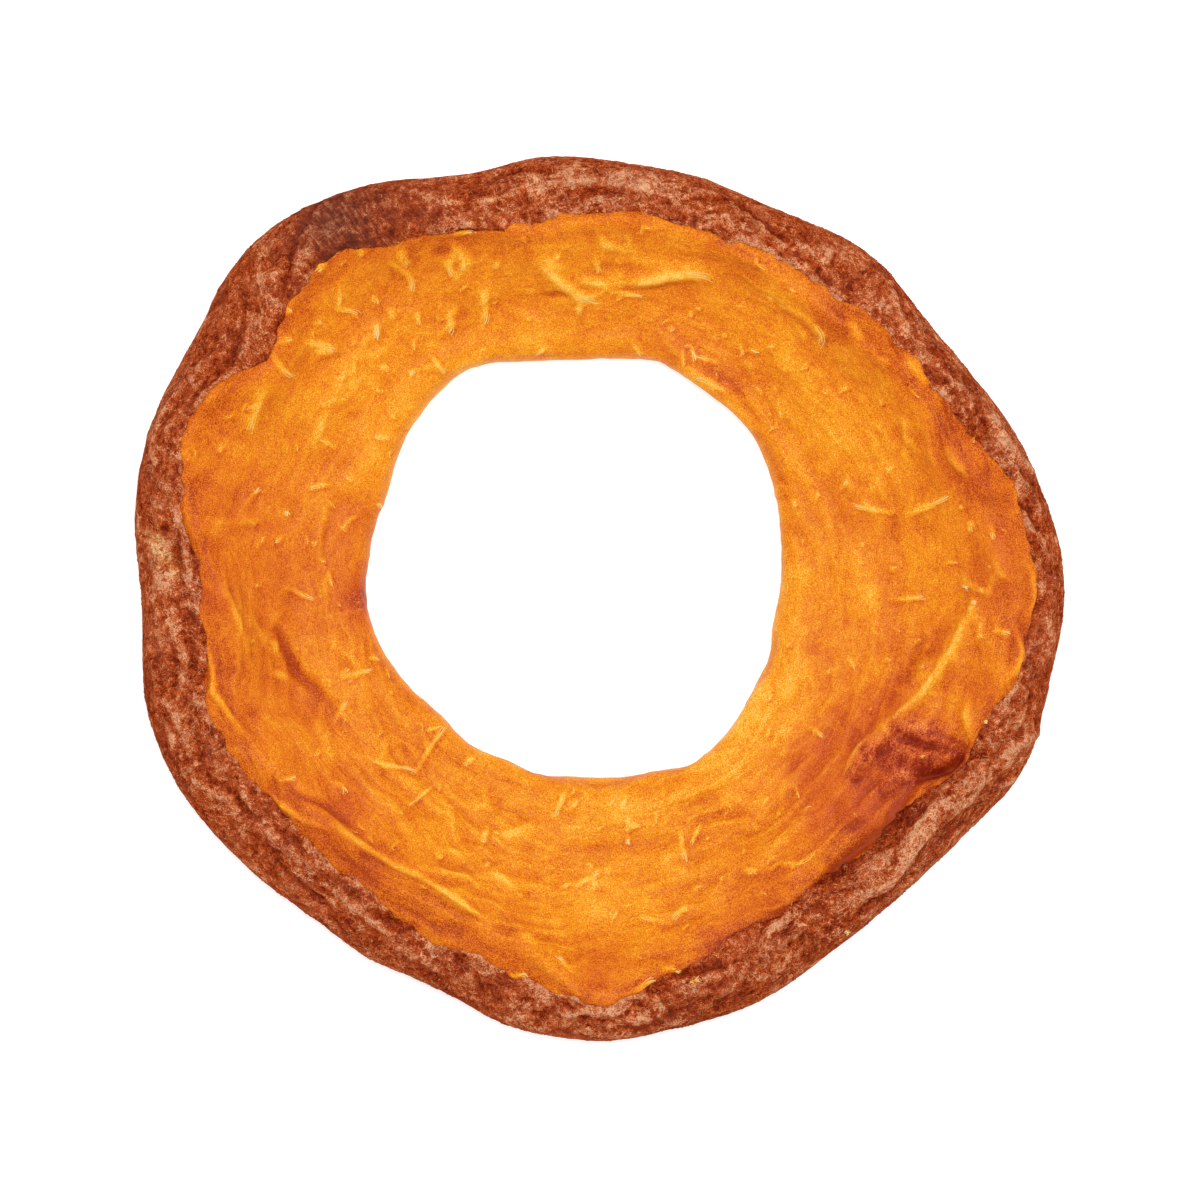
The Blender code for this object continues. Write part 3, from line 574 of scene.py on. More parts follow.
def creases(places, layers, seed):
    """As wrinkles, with sharp ridges in place of round bumps."""
    total = np.zeros(len(places))
    for number, (depth, spacing) in enumerate(layers):
        total += depth * (0.55 - 2.0 * np.abs(noise(places / spacing, seed + number)))
    return total


def between(turn, start, end, soft=12.0):
    """1 where a turn lies from start round to end, fading to 0 outside over the soft angle."""
    width = (end - start) % 360.0
    middle = start + 0.5 * width
    away = np.abs((turn - middle + 180.0) % 360.0 - 180.0) - 0.5 * width
    return np.clip(1.0 - away / soft, 0.0, 1.0)


def near_route(x, y, route, half_width):
    """How close each place is to a tapering route: 1 on its middle, 0 a few half widths away."""
    route = np.array(route, dtype=float)
    steps = np.diff(route, axis=0)
    lengths = np.hypot(*steps.T)
    starts = np.concatenate(([0.0], np.cumsum(lengths)))
    nearness = np.zeros_like(x)
    for (from_x, from_y), (step_x, step_y), length, start in zip(route, steps, lengths, starts):
        t = np.clip(((x - from_x) * step_x + (y - from_y) * step_y) / length ** 2, 0.0, 1.0)
        away = np.hypot(x - from_x - t * step_x, y - from_y - t * step_y)
        taper = np.sin(np.pi * (0.08 + 0.84 * (start + t * length) / starts[-1]))
        nearness = np.maximum(nearness, taper * np.exp(-((away / half_width) ** 2)))
    return nearness


def traced(x, y, rows, spread=1.0, margin=0.0):
    """Soft ridges along the routes of a table, each with its own half width and height."""
    total = np.zeros_like(x)
    for half_width, height, *route in rows:
        width = spread * half_width + margin
        left, low = np.min(route, axis=0) - 2.5 * width
        right, high = np.max(route, axis=0) + 2.5 * width
        near = np.flatnonzero((x > left) & (x < right) & (y > low) & (y < high))
        total[near] += height * near_route(x[near], y[near], route, width)
    return total


def spots(x, y, rows):
    """Soft round spots, each with its own radius and strength, at most 1 in all."""
    total = np.zeros_like(x)
    for spot_x, spot_y, radius, strength in rows:
        total += strength * np.exp(-((x - spot_x) ** 2 + (y - spot_y) ** 2) / radius ** 2)
    return np.minimum(total, 1.0)


def places_of(bearing, distance, height):
    """Points in space from bearings, distances and heights."""
    angle = np.radians(bearing)
    return np.stack((distance * np.cos(angle), distance * np.sin(angle), height), axis=-1)


def relief(bearing, turn, places):
    """How far the solid's surface stands out of the smooth slice."""
    x, y = places[:, 0], places[:, 1]
    flow_places = places_of(bearing, RING_RADIUS / FLOW, np.hypot(x, y))
    calm = 1.0 - EDGE_CALM * between(turn, *EDGE_TURNS, soft=25.0)
    crags = wrinkles(places, SKIN_CRAGS, seed=11) * between(turn, *SKIN_TURNS) * calm
    ridges = wrinkles(flow_places, FLESH_WRINKLES, seed=23) * between(turn, *FLESH_TURNS)
    folds = sum(height_of * near_route(x, y, route, width) for route, width, height_of in FOLDS)
    folds = folds * between(turn, *FOLD_TURNS)
    pits = np.minimum(wrinkles(places, SEAT_PITS, seed=37) + 0.1, 0.0) * between(turn, *SEAT_TURNS, soft=2.0)
    return crags + ridges + folds + pits


def turn_at(bearing, distance):
    """The turn at which the slice's upper side lies at each distance from the middle."""
    low = np.full_like(bearing, 0.0)
    high = np.full_like(bearing, 200.0)
    for _ in range(16):
        middle = 0.5 * (low + high)
        outside = smooth_section(bearing, middle)[0] > distance
        low = np.where(outside, middle, low)
        high = np.where(outside, high, middle)
    return 0.5 * (low + high)


def edge_turn(bearing):
    """The turn at which the skin ends on the cut face, at each bearing."""
    ring = places_of(bearing, RING_RADIUS, np.zeros_like(bearing))
    return turn_at(bearing, outline(CUT_EDGE, bearing) + wrinkles(ring, EDGE_WANDER, seed=51))


def blurred(grid, reach=4):
    """Each value of a grid that closes both ways, averaged with its neighbours."""
    for axis in (0, 1, 0, 1):
        grid = sum(np.roll(grid, step, axis=axis) for step in range(-reach, reach + 1)) / (2 * reach + 1)
    return grid


def hollows(grid, reach):
    """How far each value stands over its surroundings: 0 on average, about 1 on a ridge."""
    above = grid - blurred(grid, reach)
    return (above / above.std()).ravel()


def surface(bearing, turn, stand):
    """Points that stand a given height out of the smooth slice."""
    distance, height = smooth_section(bearing, turn)
    outward, upward = section_normal(bearing, turn)
    return places_of(bearing, distance + outward * stand, np.maximum(height + upward * stand, 0.0))


def surface_normal(bearing, turn):
    """The outward direction of the smooth slice."""
    outward, upward = section_normal(bearing, turn)
    return places_of(bearing, outward, upward)


def flow_coordinates(bearing, places):
    """Coordinates in which the flesh's fibres run along the first two axes."""
    wander = 0.50 * noise(places / 2.6, 71) + 0.20 * noise(places / 1.1, 72)
    return places_of(bearing, RING_RADIUS, np.hypot(places[:, 0], places[:, 1]) + wander)


def strand_ridges(height_of):
    """Rows for traced(): a ridge along each strand, as high as a function of its half width says."""
    return [(half_width, height_of(half_width), *route) for half_width, _, *route in strand_rows()]


def rough_flesh(bearing, turn):
    """Height of the flesh's surface over the smooth slice, before it is moved onto its outline."""
    places = places_of(bearing, *smooth_section(bearing, turn))
    x, y = places[:, 0], places[:, 1]
    stretch = np.array((FLOW_STRETCH, FLOW_STRETCH, 1.0))
    lines = creases(flow_coordinates(bearing, places) / stretch, FLOW_LINES, seed=61)
    grain = wrinkles(places, FLESH_GRAIN, seed=67)
    mounds = strand_ridges(lambda half_width: 0.9 * half_width)
    traces = traced(x, y, FLESH_FOLDS + BRUISE_LOBES + soft_folds(), margin=0.06)
    traces += traced(x, y, mounds, spread=1.8, margin=0.04)
    on_top = between(turn, *FLESH_DETAIL_TURNS)
    fine = lines * outline(FLOW_STRENGTH, bearing) + grain + traces * on_top
    return relief(bearing, turn, places) + fine * (0.4 + 0.6 * on_top)


def rough_skin(bearing, turn):
    """Height of the skin's outer surface over the smooth slice, before it is moved onto its outline."""
    places = places_of(bearing, *smooth_section(bearing, turn))
    x, y = places[:, 0], places[:, 1]
    swirl = 0.5 * np.stack([noise(places / 1.7, seed) for seed in (81, 82, 83)], axis=1)
    along = places_of(bearing, RING_RADIUS / CREASE_STRETCH, turn * SKIN_MM_PER_TURN) + swirl
    folds = creases(along, SKIN_CREASES[1:], seed=85) - creases(along, SKIN_CREASES[:1], seed=84)
    crumple = creases(places + swirl, SKIN_CRUMPLE, seed=88)
    stripes = noise(places_of(bearing, STRIPE_RADIUS, turn * STRIPE_RUN), 93)
    stripes *= STRIPE_DEPTH * spots(x, y, SKIN_STRIPED_SPOTS)
    calm = 1.0 - FINE_CALM * between(turn, *EDGE_TURNS, soft=30.0)
    traces = traced(x, y, SKIN_FOLDS, margin=0.06) * between(turn, *SKIN_FOLD_TURNS)
    traces *= np.clip(0.7 + 0.9 * noise(places / 1.2, 95), 0.0, 1.3)
    return relief(bearing, turn, places) + (folds + crumple) * calm + stripes + traces


@functools.cache
def moves():
    """How far the rim and the hole's wall have to move, every half degree, to meet their outlines."""
    bearing = np.arange(0.0, 360.0, 0.5)
    rim = outline(RIM, bearing) + rough_skin(bearing, np.full_like(bearing, RIM_TURN)) + SKIN_LIFT
    hole = outline(HOLE, bearing) - rough_flesh(bearing, np.full_like(bearing, HOLE_TURN))
    short = outline(RIM_OUTLINE, bearing) - rim, hole - outline(HOLE_OUTLINE, bearing)
    steps = range(-MOVE_REACH, MOVE_REACH + 1)
    return bearing, *(sum(np.roll(values, step) for step in steps) / len(steps) for values in short)


def moved(bearing, turn):
    """The move that brings the rim and the hole's wall onto their outlines."""
    at, rim, hole = moves()
    rim = np.interp(bearing, at, rim, period=360.0) * between(turn, **RIM_MOVE)
    hole = np.interp(bearing, at, hole, period=360.0) * between(turn, **HOLE_MOVE)
    return rim + hole


def flesh_stand(bearing, turn):
    """Height of the flesh's surface over the smooth slice."""
    return rough_flesh(bearing, turn) + moved(bearing, turn)


def skin_stand(bearing, turn):
    """Height of the skin's outer surface over the smooth slice, without its lift."""
    return rough_skin(bearing, turn) + moved(bearing, turn)


def short_route(chance, heading_spread, length, bend):
    """Three points of a short bent line somewhere on the cut face, roughly along the ring."""
    bearing = chance.uniform(0.0, 360.0)
    hole, edge = (outline(table, np.array([bearing]))[0] for table in (HOLE, CUT_EDGE))
    distance = hole + chance.uniform(0.06, 0.95) * (edge - hole)
    heading = math.radians(bearing + 90.0 + chance.normal(0.0, heading_spread))
    middle = distance * np.array((math.cos(math.radians(bearing)), math.sin(math.radians(bearing))))
    along = 0.5 * length * np.array((math.cos(heading), math.sin(heading)))
    aside = bend * np.array((-along[1], along[0]))
    return middle - along - aside, middle + aside, middle + along - aside


def soft_folds():
    """Low soft ridges all over the cut face, like those in the table but too many to list."""
    chance = np.random.default_rng(SEED + 1)
    rows = []
    for _ in range(SOFT_FOLDS):
        route = short_route(chance, 28.0, chance.uniform(1.0, 3.2), chance.normal(0.0, 0.12))
        rows.append((chance.uniform(0.10, 0.20), chance.uniform(0.04, 0.11), *route))
    return rows


def strand_rows():
    """The strands of the photograph and, between them, finer ones like them."""
    chance = np.random.default_rng(SEED)
    rows = list(STRANDS)
    for _ in range(FINE_STRANDS):
        route = short_route(chance, 45.0, chance.uniform(0.2, 0.6), chance.normal(0.0, 0.25))
        rows.append((chance.uniform(0.03, 0.06), chance.uniform(0.1, 0.6), *route))
    return rows


def faces_of(*corners):
    """Faces from one array of point numbers for each of their corners."""
    return np.stack(corners, axis=-1).reshape(-1, len(corners))


def counted(*lengths):
    """Whole numbers along each axis of a grid with these lengths."""
    return np.meshgrid(*(np.arange(length) for length in lengths), indexing="ij")


def grid_faces(columns, rows):
    """Quads over a grid that closes both ways. Point number = column * rows + row."""
    column, row = counted(columns, rows)
    here, beyond = column * rows, (column + 1) % columns * rows
    next_row = (row + 1) % rows
    return faces_of(here + row, beyond + row, beyond + next_row, here + next_row)


def make_mesh(name, points, faces, attributes):
    """A mesh object from points in mm, with one number or one vector a point in each attribute."""
    mesh = bpy.data.meshes.new(name)
    sides = faces.shape[1]
    mesh.vertices.add(len(points))
    mesh.vertices.foreach_set("co", (points * MM).ravel().astype(np.float32))
    mesh.loops.add(faces.size)
    mesh.loops.foreach_set("vertex_index", faces.ravel().astype(np.int32))
    mesh.polygons.add(len(faces))
    mesh.polygons.foreach_set("loop_start", np.arange(0, faces.size, sides, dtype=np.int32))
    mesh.update(calc_edges=True)
    mesh.validate()
    for label, values in attributes.items():
        kind, field = ("FLOAT", "value") if values.ndim == 1 else ("FLOAT_VECTOR", "vector")
        layer = mesh.attributes.new(label, kind, "POINT")
        layer.data.foreach_set(field, values.ravel().astype(np.float32))
    mesh.shade_smooth()
    item = bpy.data.objects.new(name, mesh)
    bpy.context.scene.collection.objects.link(item)
    return item


def claim(item, material):
    """Dress a piece and let it stand for the solid."""
    item.data.materials.append(material)
    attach(item, "root")
    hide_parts(NODE)


# PIECES
def ring_grid(sections, turns_of):
    """Places round the slice and, at each, the turns of its rows, which depend on the skin's edge."""
    bearings = np.linspace(0.0, 360.0, sections, endpoint=False)
    edges = edge_turn(bearings)
    turns = turns_of(edges[:, None])
    rows = turns.shape[1]
    return turns.shape, np.repeat(bearings, rows), turns.ravel(), np.repeat(edges, rows)


def flesh_turns(edge):
    """The flesh's rows: under the skin, past the skin's edge, over the top, the hole and the underside."""
    before, past = FLESH_EDGE_BAND
    starts = (SKIN_END_TURN, edge + before, edge + past, *FLESH_WALL_TURNS, 360.0 + SKIN_END_TURN)
    bands = []
    for start, end, count in zip(starts, starts[1:], FLESH_ROWS):
        bands.append(start + np.arange(count) / count * (end - start) + 0.0 * edge)
    return np.concatenate(bands, axis=1)


def skin_turns(edge):
    """The skin's rows: up its outer side to its edge and back down its inner side."""
    outer = SKIN_END_TURN + np.linspace(0.0, 1.0, SKIN_ROWS) * (edge - SKIN_END_TURN)
    inner = SKIN_END_TURN + np.linspace(1.0, 0.0, SKIN_INNER_ROWS) * (edge - SKIN_END_TURN)
    return np.concatenate((outer, inner), axis=1)


def make_flesh():
    """The flesh: the cut face, the hole's wall and the underside, closed under the skin."""
    shape, bearing, turn, edge = ring_grid(FLESH_SECTIONS, flesh_turns)
    stand = flesh_stand(bearing, turn)
    under_skin = np.clip((edge - 1.0 - turn) / 3.0, 0.0, 1.0) * (turn < 180.0)
    points = surface(bearing, turn, stand - SKIN_TUCK * under_skin)
    places = places_of(bearing, *smooth_section(bearing, turn))
    x, y = places[:, 0], places[:, 1]
    shade_x, shade_y = STRAND_SHADE
    hole = outline(HOLE, bearing)
    bodies = strand_ridges(lambda half_width: 1.0)
    attributes = {
        "flow": flow_coordinates(bearing, places),
        "hollow": hollows(stand.reshape(shape), 3),
        "valley": hollows(stand.reshape(shape), 9),
        "inward": (np.hypot(x, y) - hole) / (outline(CUT_EDGE, bearing) - hole),
        "blush": spots(x, y, FLESH_BLUSH),
        "bruise": spots(x, y, FLESH_BRUISE_SPOTS),
        "flesh_shade": spots(x, y, FLESH_SHADE_SPOTS),
        "glow": spots(x, y, FLESH_GLOW),
        "fold": traced(x, y, FLESH_FOLDS + soft_folds(), margin=0.03) / FOLD_HEIGHT,
        "strand": np.minimum(traced(x, y, bodies, spread=1.2, margin=0.02), 1.0),
        # A painted shadow: a dark line beside each strand, set off to one side by STRAND_SHADE.
        "around": np.minimum(traced(x - shade_x, y - shade_y, bodies, spread=1.3, margin=0.06), 1.0),
        "lined": outline(FLOW_STRENGTH, bearing),
    }
    item = make_mesh("flesh", points, grid_faces(*shape), attributes)
    claim(item, flesh_material())


def make_skin():
    """The skin: a rind round the rim whose upper end is rolled in a little."""
    shape, bearing, turn, edge = ring_grid(SKIN_SECTIONS, skin_turns)
    stand = skin_stand(bearing, turn)
    inside = np.tile(np.arange(shape[1]) >= SKIN_ROWS, shape[0])
    from_end = np.minimum(edge - turn, (turn - SKIN_END_TURN) * 1.5)
    rolled = np.clip(1.0 - from_end / SKIN_ROLL_TURNS, 0.0, 1.0) ** 2
    outside_stand = stand + SKIN_LIFT - SKIN_ROLL * rolled
    points = surface(bearing, turn, np.where(inside, stand - SKIN_DEPTH, outside_stand))
    places = places_of(bearing, *smooth_section(bearing, turn))
    x, y = places[:, 0], places[:, 1]
    grid = np.where(inside, 0.0, stand).reshape(shape)
    attributes = {
        "hollow": hollows(grid, 2),
        "valley": hollows(grid, 7),
        "from_flesh": (edge - turn) * SKIN_MM_PER_TURN,
        "outward": np.clip((26.0 - turn) / 26.0, 0.0, 1.0),
        "dark": spots(x, y, SKIN_DARK_SPOTS),
        "pale": spots(x, y, SKIN_PALE_SPOTS),
        "striped": spots(x, y, SKIN_STRIPED_SPOTS),
        "ring": places_of(bearing, RING_RADIUS, np.hypot(x, y)),
        "scar": spots(x, y, SKIN_SCAR),
    }
    item = make_mesh("skin", points, grid_faces(*shape), attributes)
    claim(item, skin_material())


def make_threads(name, spines, normals, half_widths, flatness, sides, pale):
    """Many tapering threads as one piece. Spines and normals are (thread, station, axis)."""
    count, stations = half_widths.shape
    heading = np.gradient(spines, axis=1)
    heading /= np.linalg.norm(heading, axis=2, keepdims=True)
    aside = np.cross(heading, normals)
    aside /= np.linalg.norm(aside, axis=2, keepdims=True)
    upward = flatness * np.cross(aside, heading)
    ring = np.radians(np.arange(sides) * 360.0 / sides)[:, None]
    around = aside[:, :, None] * np.cos(ring) + upward[:, :, None] * np.sin(ring)
    walls = (spines[:, :, None] + around * half_widths[:, :, None, None]).reshape(-1, 3)
    ends = (0, -1)
    reach = heading[:, ends] * half_widths[:, ends, None] * [[-1.0], [1.0]]
    tips = (spines[:, ends] + reach).reshape(-1, 3)
    thread, station, side = counted(count, stations - 1, sides)
    start = (thread * stations + station) * sides
    near, near_next = start + side, start + (side + 1) % sides
    lower = faces_of(near, near_next, near_next + sides)
    upper = faces_of(near, near_next + sides, near + sides)
    thread, side = counted(count, sides)
    following = (side + 1) % sides
    first = thread * stations * sides
    last = first + (stations - 1) * sides
    tip = len(walls) + 2 * thread
    start_caps = faces_of(first + following, first + side, tip)
    end_caps = faces_of(last + side, last + following, tip + 1)
    faces = np.concatenate((lower, upper, start_caps, end_caps))
    pale = np.concatenate((np.repeat(pale.ravel(), sides), pale[:, ends].ravel()))
    return make_mesh(name, np.concatenate((walls, tips)), faces, {"pale": pale})


def thread_line(route, at):
    """The bent line through a route's points, at shares of its length, and the direction beside it."""
    route = np.array(route)
    steps = np.hypot(*np.diff(route, axis=0).T)
    knots = np.concatenate(([0.0], np.cumsum(steps))) / steps.sum()
    line = np.stack([np.polyval(np.polyfit(knots, axis, min(4, len(steps))), at) for axis in route.T], axis=1)
    heading = np.gradient(line, axis=0)
    heading /= np.hypot(*heading.T)[:, None]
    return line, np.stack((-heading[:, 1], heading[:, 0]), axis=1)


def make_strands():
    """Fibres that stand out of the flesh, in bundles that fray and turn pale at their ends."""
    chance = np.random.default_rng(SEED + 2)
    share = np.linspace(0.0, 1.0, STRAND_STATIONS)
    taper = (1.0 - 0.80 * share) ** 0.5 * np.minimum(1.0, 0.25 + 4.0 * share)
    threads = []
    for half_width, pale, *route in strand_rows():
        bare = pale > BARE_PALE
        numbers = (-1, 0, 1) if half_width > BUNDLE_WIDTH else (0,)
        for number in numbers:
            begin = FRAY_START * (not bare) + chance.uniform(0.0, 0.2)
            end = 1.0 - chance.uniform(0.0, 0.14)
            at = begin + (end - begin) * share
            line, beside = thread_line(route, at)
            offset = number * (0.5 * half_width + 0.05 * at ** 3) + chance.normal(0.0, 0.008)
            offset += 0.025 * np.sin(at * chance.uniform(5.0, 12.0) + chance.uniform(0.0, 6.0))
            width = 0.030 if number else min(0.6 * half_width, 0.055)
            tone = (0.4 + 0.6 * pale) * chance.uniform(0.8, 1.2) * share ** 2 + 0.4 * pale * bare
            lift = 0.06 * pale * share ** 2 - 0.015
            threads.append((line + beside * offset[:, None], width * taper, tone, lift))
    lines, widths, tones, lifts = (np.array(values) for values in zip(*threads))
    x, y = lines.reshape(-1, 2).T
    bearing = np.degrees(np.arctan2(y, x)) % 360.0
    turn = turn_at(bearing, np.hypot(x, y))
    on_skin = turn < edge_turn(bearing)
    stand = np.where(on_skin, skin_stand(bearing, turn) + SKIN_LIFT, flesh_stand(bearing, turn))
    spines = surface(bearing, turn, stand + lifts.ravel()).reshape(*widths.shape, 3)
    normals = surface_normal(bearing, turn).reshape(spines.shape)
    item = make_threads("strands", spines, normals, widths, 0.8, STRAND_SIDES, tones)
    claim(item, strand_material())


def make_fuzz():
    """Fine hairs that lie over the skin, most of them on its ridges and its pale spots."""
    chance = np.random.default_rng(SEED)
    tries = 3 * HAIRS
    bearing = chance.uniform(0.0, 360.0, tries)
    share = chance.uniform(0.0, 1.0, tries)
    turn = SKIN_END_TURN + 6.0 + share * (edge_turn(bearing) - SKIN_END_TURN - 8.0)
    places = places_of(bearing, *smooth_section(bearing, turn))
    x, y = places[:, 0], places[:, 1]
    striped = spots(x, y, SKIN_STRIPED_SPOTS)
    around = [skin_stand(bearing + aside, turn + step) for aside, step in ((1, 0), (-1, 0), (0, 5), (0, -5))]
    ridge = (skin_stand(bearing, turn) - sum(around) / 4.0) / 0.08
    crowd = 0.10 + 0.5 * noise(places / 1.1, 101) + 0.35 * ridge
    crowd += 0.7 * spots(x, y, SKIN_PALE_SPOTS) - 0.4 * striped
    kept = np.flatnonzero(chance.uniform(0.0, 1.0, tries) < crowd)[:HAIRS]
    bearing, turn, places, striped = (values[kept] for values in (bearing, turn, places, striped))
    count = len(kept)
    heading = 1.5 * np.pi * noise(places / 0.9, 103) + chance.normal(0.0, 0.5, count)
    heading += striped * (0.5 * np.pi - heading)
    bend = chance.normal(0.0, 1.6, count) * (1.0 - 0.7 * striped)
    length = chance.uniform(*HAIR_LENGTH, count) * (1.0 + 0.5 * striped)
    share = np.linspace(-0.5, 0.5, HAIR_STATIONS)
    along = length[:, None] * share
    curve = heading[:, None] + bend[:, None] * share
    distance = np.hypot(places[:, 0], places[:, 1])[:, None]
    bearing = (bearing[:, None] + np.degrees(np.cos(curve) * along / distance)).ravel() % 360.0
    turn = (turn[:, None] + np.sin(curve) * along / SKIN_MM_PER_TURN).ravel()
    spines = surface(bearing, turn, skin_stand(bearing, turn) + SKIN_LIFT + HAIR_LIFT)
    spines[:, 2] = np.maximum(spines[:, 2], HAIR_LOWEST)
    spines = spines.reshape(count, HAIR_STATIONS, 3)
    normals = surface_normal(bearing, turn).reshape(spines.shape)
    widths = chance.uniform(*HAIR_WIDTH, (count, 1)) * (1.0 - (1.6 * share) ** 2)
    pale = np.broadcast_to(chance.uniform(0.0, 1.0, (count, 1)), widths.shape)
    item = make_threads("fuzz", spines, normals, widths, 1.0, HAIR_SIDES, pale)
    claim(item, fuzz_material())


# MATERIALS
def shown(red, green, blue):
    """The colour, in the linear light that shaders use, that looks so (0 to 255) in this studio."""
    def linear(value):
        value = value / 255.0
        return value / 12.92 if value <= 0.04045 else ((value + 0.055) / 1.055) ** 2.4
    return tuple(linear(value) / LIGHT_LEVEL for value in (red, green, blue)) + (1.0,)


# From the deepest tone to the palest: (tone, red, green, blue).
FLESH_TONES = [
    (0.00, 116, 28, 6), (0.15, 166, 58, 12), (0.30, 204, 90, 16), (0.45, 226, 115, 20), (0.60, 238, 139, 26),
    (0.75, 247, 160, 24), (0.88, 254, 183, 36), (1.00, 255, 208, 106),
]
SKIN_TONES = [
    (0.00, 92, 24, 10), (0.20, 132, 44, 17), (0.40, 164, 62, 26), (0.55, 188, 79, 34), (0.70, 208, 100, 50),
    (0.85, 223, 129, 80), (1.00, 246, 182, 138),
]
BLUSH_RED = shown(214, 88, 44)
SCAR_TONES = [(0.30, 176, 74, 28), (0.55, 212, 112, 50), (0.80, 236, 158, 92), (1.00, 252, 210, 156)]
BRUISE_TONES = [
    (0.00, 130, 30, 10), (0.12, 158, 49, 20), (0.26, 188, 74, 36), (0.40, 211, 97, 46), (0.60, 234, 132, 62),
    (0.85, 249, 186, 112),
]
STRAND_YELLOW = shown(255, 186, 62)
STRAND_CREAM = shown(255, 230, 166)
# The colour of the painted sheen on the skin.
SKIN_SHEEN = shown(158, 78, 60)
SKIN_BARE = shown(112, 65, 53)
HAIR_DIM = shown(192, 96, 50)
HAIR_BRIGHT = shown(240, 172, 126)
FLOOR_WHITE = (0.80, 0.80, 0.80, 1.0)


class Shader:
    """A material's nodes, added one call at a time. An input is a value or another node's output."""

    def __init__(self, name):
        self.material = bpy.data.materials.new(name)
        self.material.use_nodes = True
        self.tree = self.material.node_tree
        self.surface = self.tree.nodes["Principled BSDF"]

    def fill(self, node, inputs):
        """Set or link a node's inputs, each named by its label or its number."""
        for label, value in inputs.items():
            socket = node.inputs[label]
            if isinstance(value, bpy.types.NodeSocket):
                self.tree.links.new(value, socket)
            else:
                socket.default_value = value

    def add(self, kind, inputs, output=0, **settings):
        """Add a node, and give back one of its outputs."""
        node = self.tree.nodes.new(kind)
        for label, value in settings.items():
            setattr(node, label, value)
        self.fill(node, inputs)
        return node.outputs[output]

    def attribute(self, name, output="Fac"):
        """What the mesh stores under a name."""
        return self.add("ShaderNodeAttribute", {}, output, attribute_name=name)

    def place(self):
        """The place on the object, in millimetres."""
        return self.scaled(self.add("ShaderNodeTexCoord", {}, "Object"), 1.0 / MM)

    def scaled(self, vector, factor):
        return self.add("ShaderNodeVectorMath", {0: vector, "Scale": factor}, operation="SCALE")

    def stretched(self, vector, factors):
        return self.add("ShaderNodeVectorMath", {0: vector, 1: factors}, operation="MULTIPLY")

    def mirrored(self, vector):
        """The place in a mirror, for a second texture of a kind that differs from the first."""
        return self.stretched(vector, (-1.0, 1.0, 1.0))

    def noise(self, vector, spacing, detail=2.0, distortion=0.0, roughness=0.5, more=None, **settings):
        """Cloudy values round 0.5."""
        inputs = {
            "Vector": vector,
            "Scale": 1.0 / spacing,
            "Detail": detail,
            "Roughness": roughness,
            "Distortion": distortion,
            **(more or {}),
        }
        return self.add("ShaderNodeTexNoise", inputs, "Fac", **settings)

    def crests(self, vector, spacing, detail=4.0, distortion=1.0, roughness=0.7):
        """Branching crests at several scales: about 1.2 in a hollow and 2.6 on a crest."""
        more = {"Lacunarity": 2.1, "Offset": 1.0, "Gain": 2.0}
        settings = {"noise_type": "RIDGED_MULTIFRACTAL", "normalize": False}
        return self.noise(vector, spacing, detail, distortion, roughness, more, **settings)

    def ramp(self, value, low, high, to_low=0.0, to_high=1.0):
        """From to_low to to_high as the value goes from low to high, and level outside."""
        inputs = {"Value": value, "From Min": low, "From Max": high, "To Min": to_low, "To Max": to_high}
        return self.add("ShaderNodeMapRange", inputs)

    def math(self, operation, first, second=0.0):
        return self.add("ShaderNodeMath", {0: first, 1: second}, operation=operation)

    def blend(self, amount, first, second):
        """A value between two others."""
        return self.add("ShaderNodeMix", {0: amount, 2: first, 3: second})

    def seams(self, vector, spacing, thickness):
        """Thin bent seams between cells: 1 on a seam, 0 a thickness away."""
        swirl = {"Vector": vector, "Scale": 1.2 / spacing, "Detail": 3.0}
        swirl = self.add("ShaderNodeTexNoise", swirl, "Color")
        swirl = self.scaled(swirl, 1.8 * spacing)
        bent = self.add("ShaderNodeVectorMath", {0: vector, 1: swirl}, operation="ADD")
        inputs = {"Vector": bent, "Scale": 1.0 / spacing}
        away = self.add("ShaderNodeTexVoronoi", inputs, "Distance", feature="DISTANCE_TO_EDGE")
        return self.ramp(away, thickness / spacing, 0.0)

    def total(self, *terms):
        """The sum of any number of values."""
        return functools.reduce(lambda first, second: self.math("ADD", first, second), terms)

    def product(self, *factors):
        """The product of any number of values."""
        return functools.reduce(lambda first, second: self.math("MULTIPLY", first, second), factors)

    def tones(self, tone, table):
        """The colour that a table of tones gives."""
        node = self.tree.nodes.new("ShaderNodeValToRGB")
        elements = node.color_ramp.elements
        while len(elements) < len(table):
            elements.new(0.5)
        for element, (position, *colour) in zip(elements, table):
            element.position = position
            element.color = shown(*colour)
        self.tree.links.new(tone, node.inputs["Fac"])
        return node.outputs["Color"]

    def mix(self, amount, first, second):
        """A colour between two others."""
        return self.add("ShaderNodeMix", {0: amount, 6: first, 7: second}, 2, data_type="RGBA")

    def bump(self, height, depth, below=None):
        """A bump whose full height is depth millimetres."""
        inputs = {"Height": height, "Distance": depth * MM, "Strength": 1.0}
        if below is not None:
            inputs["Normal"] = below
        return self.add("ShaderNodeBump", inputs)


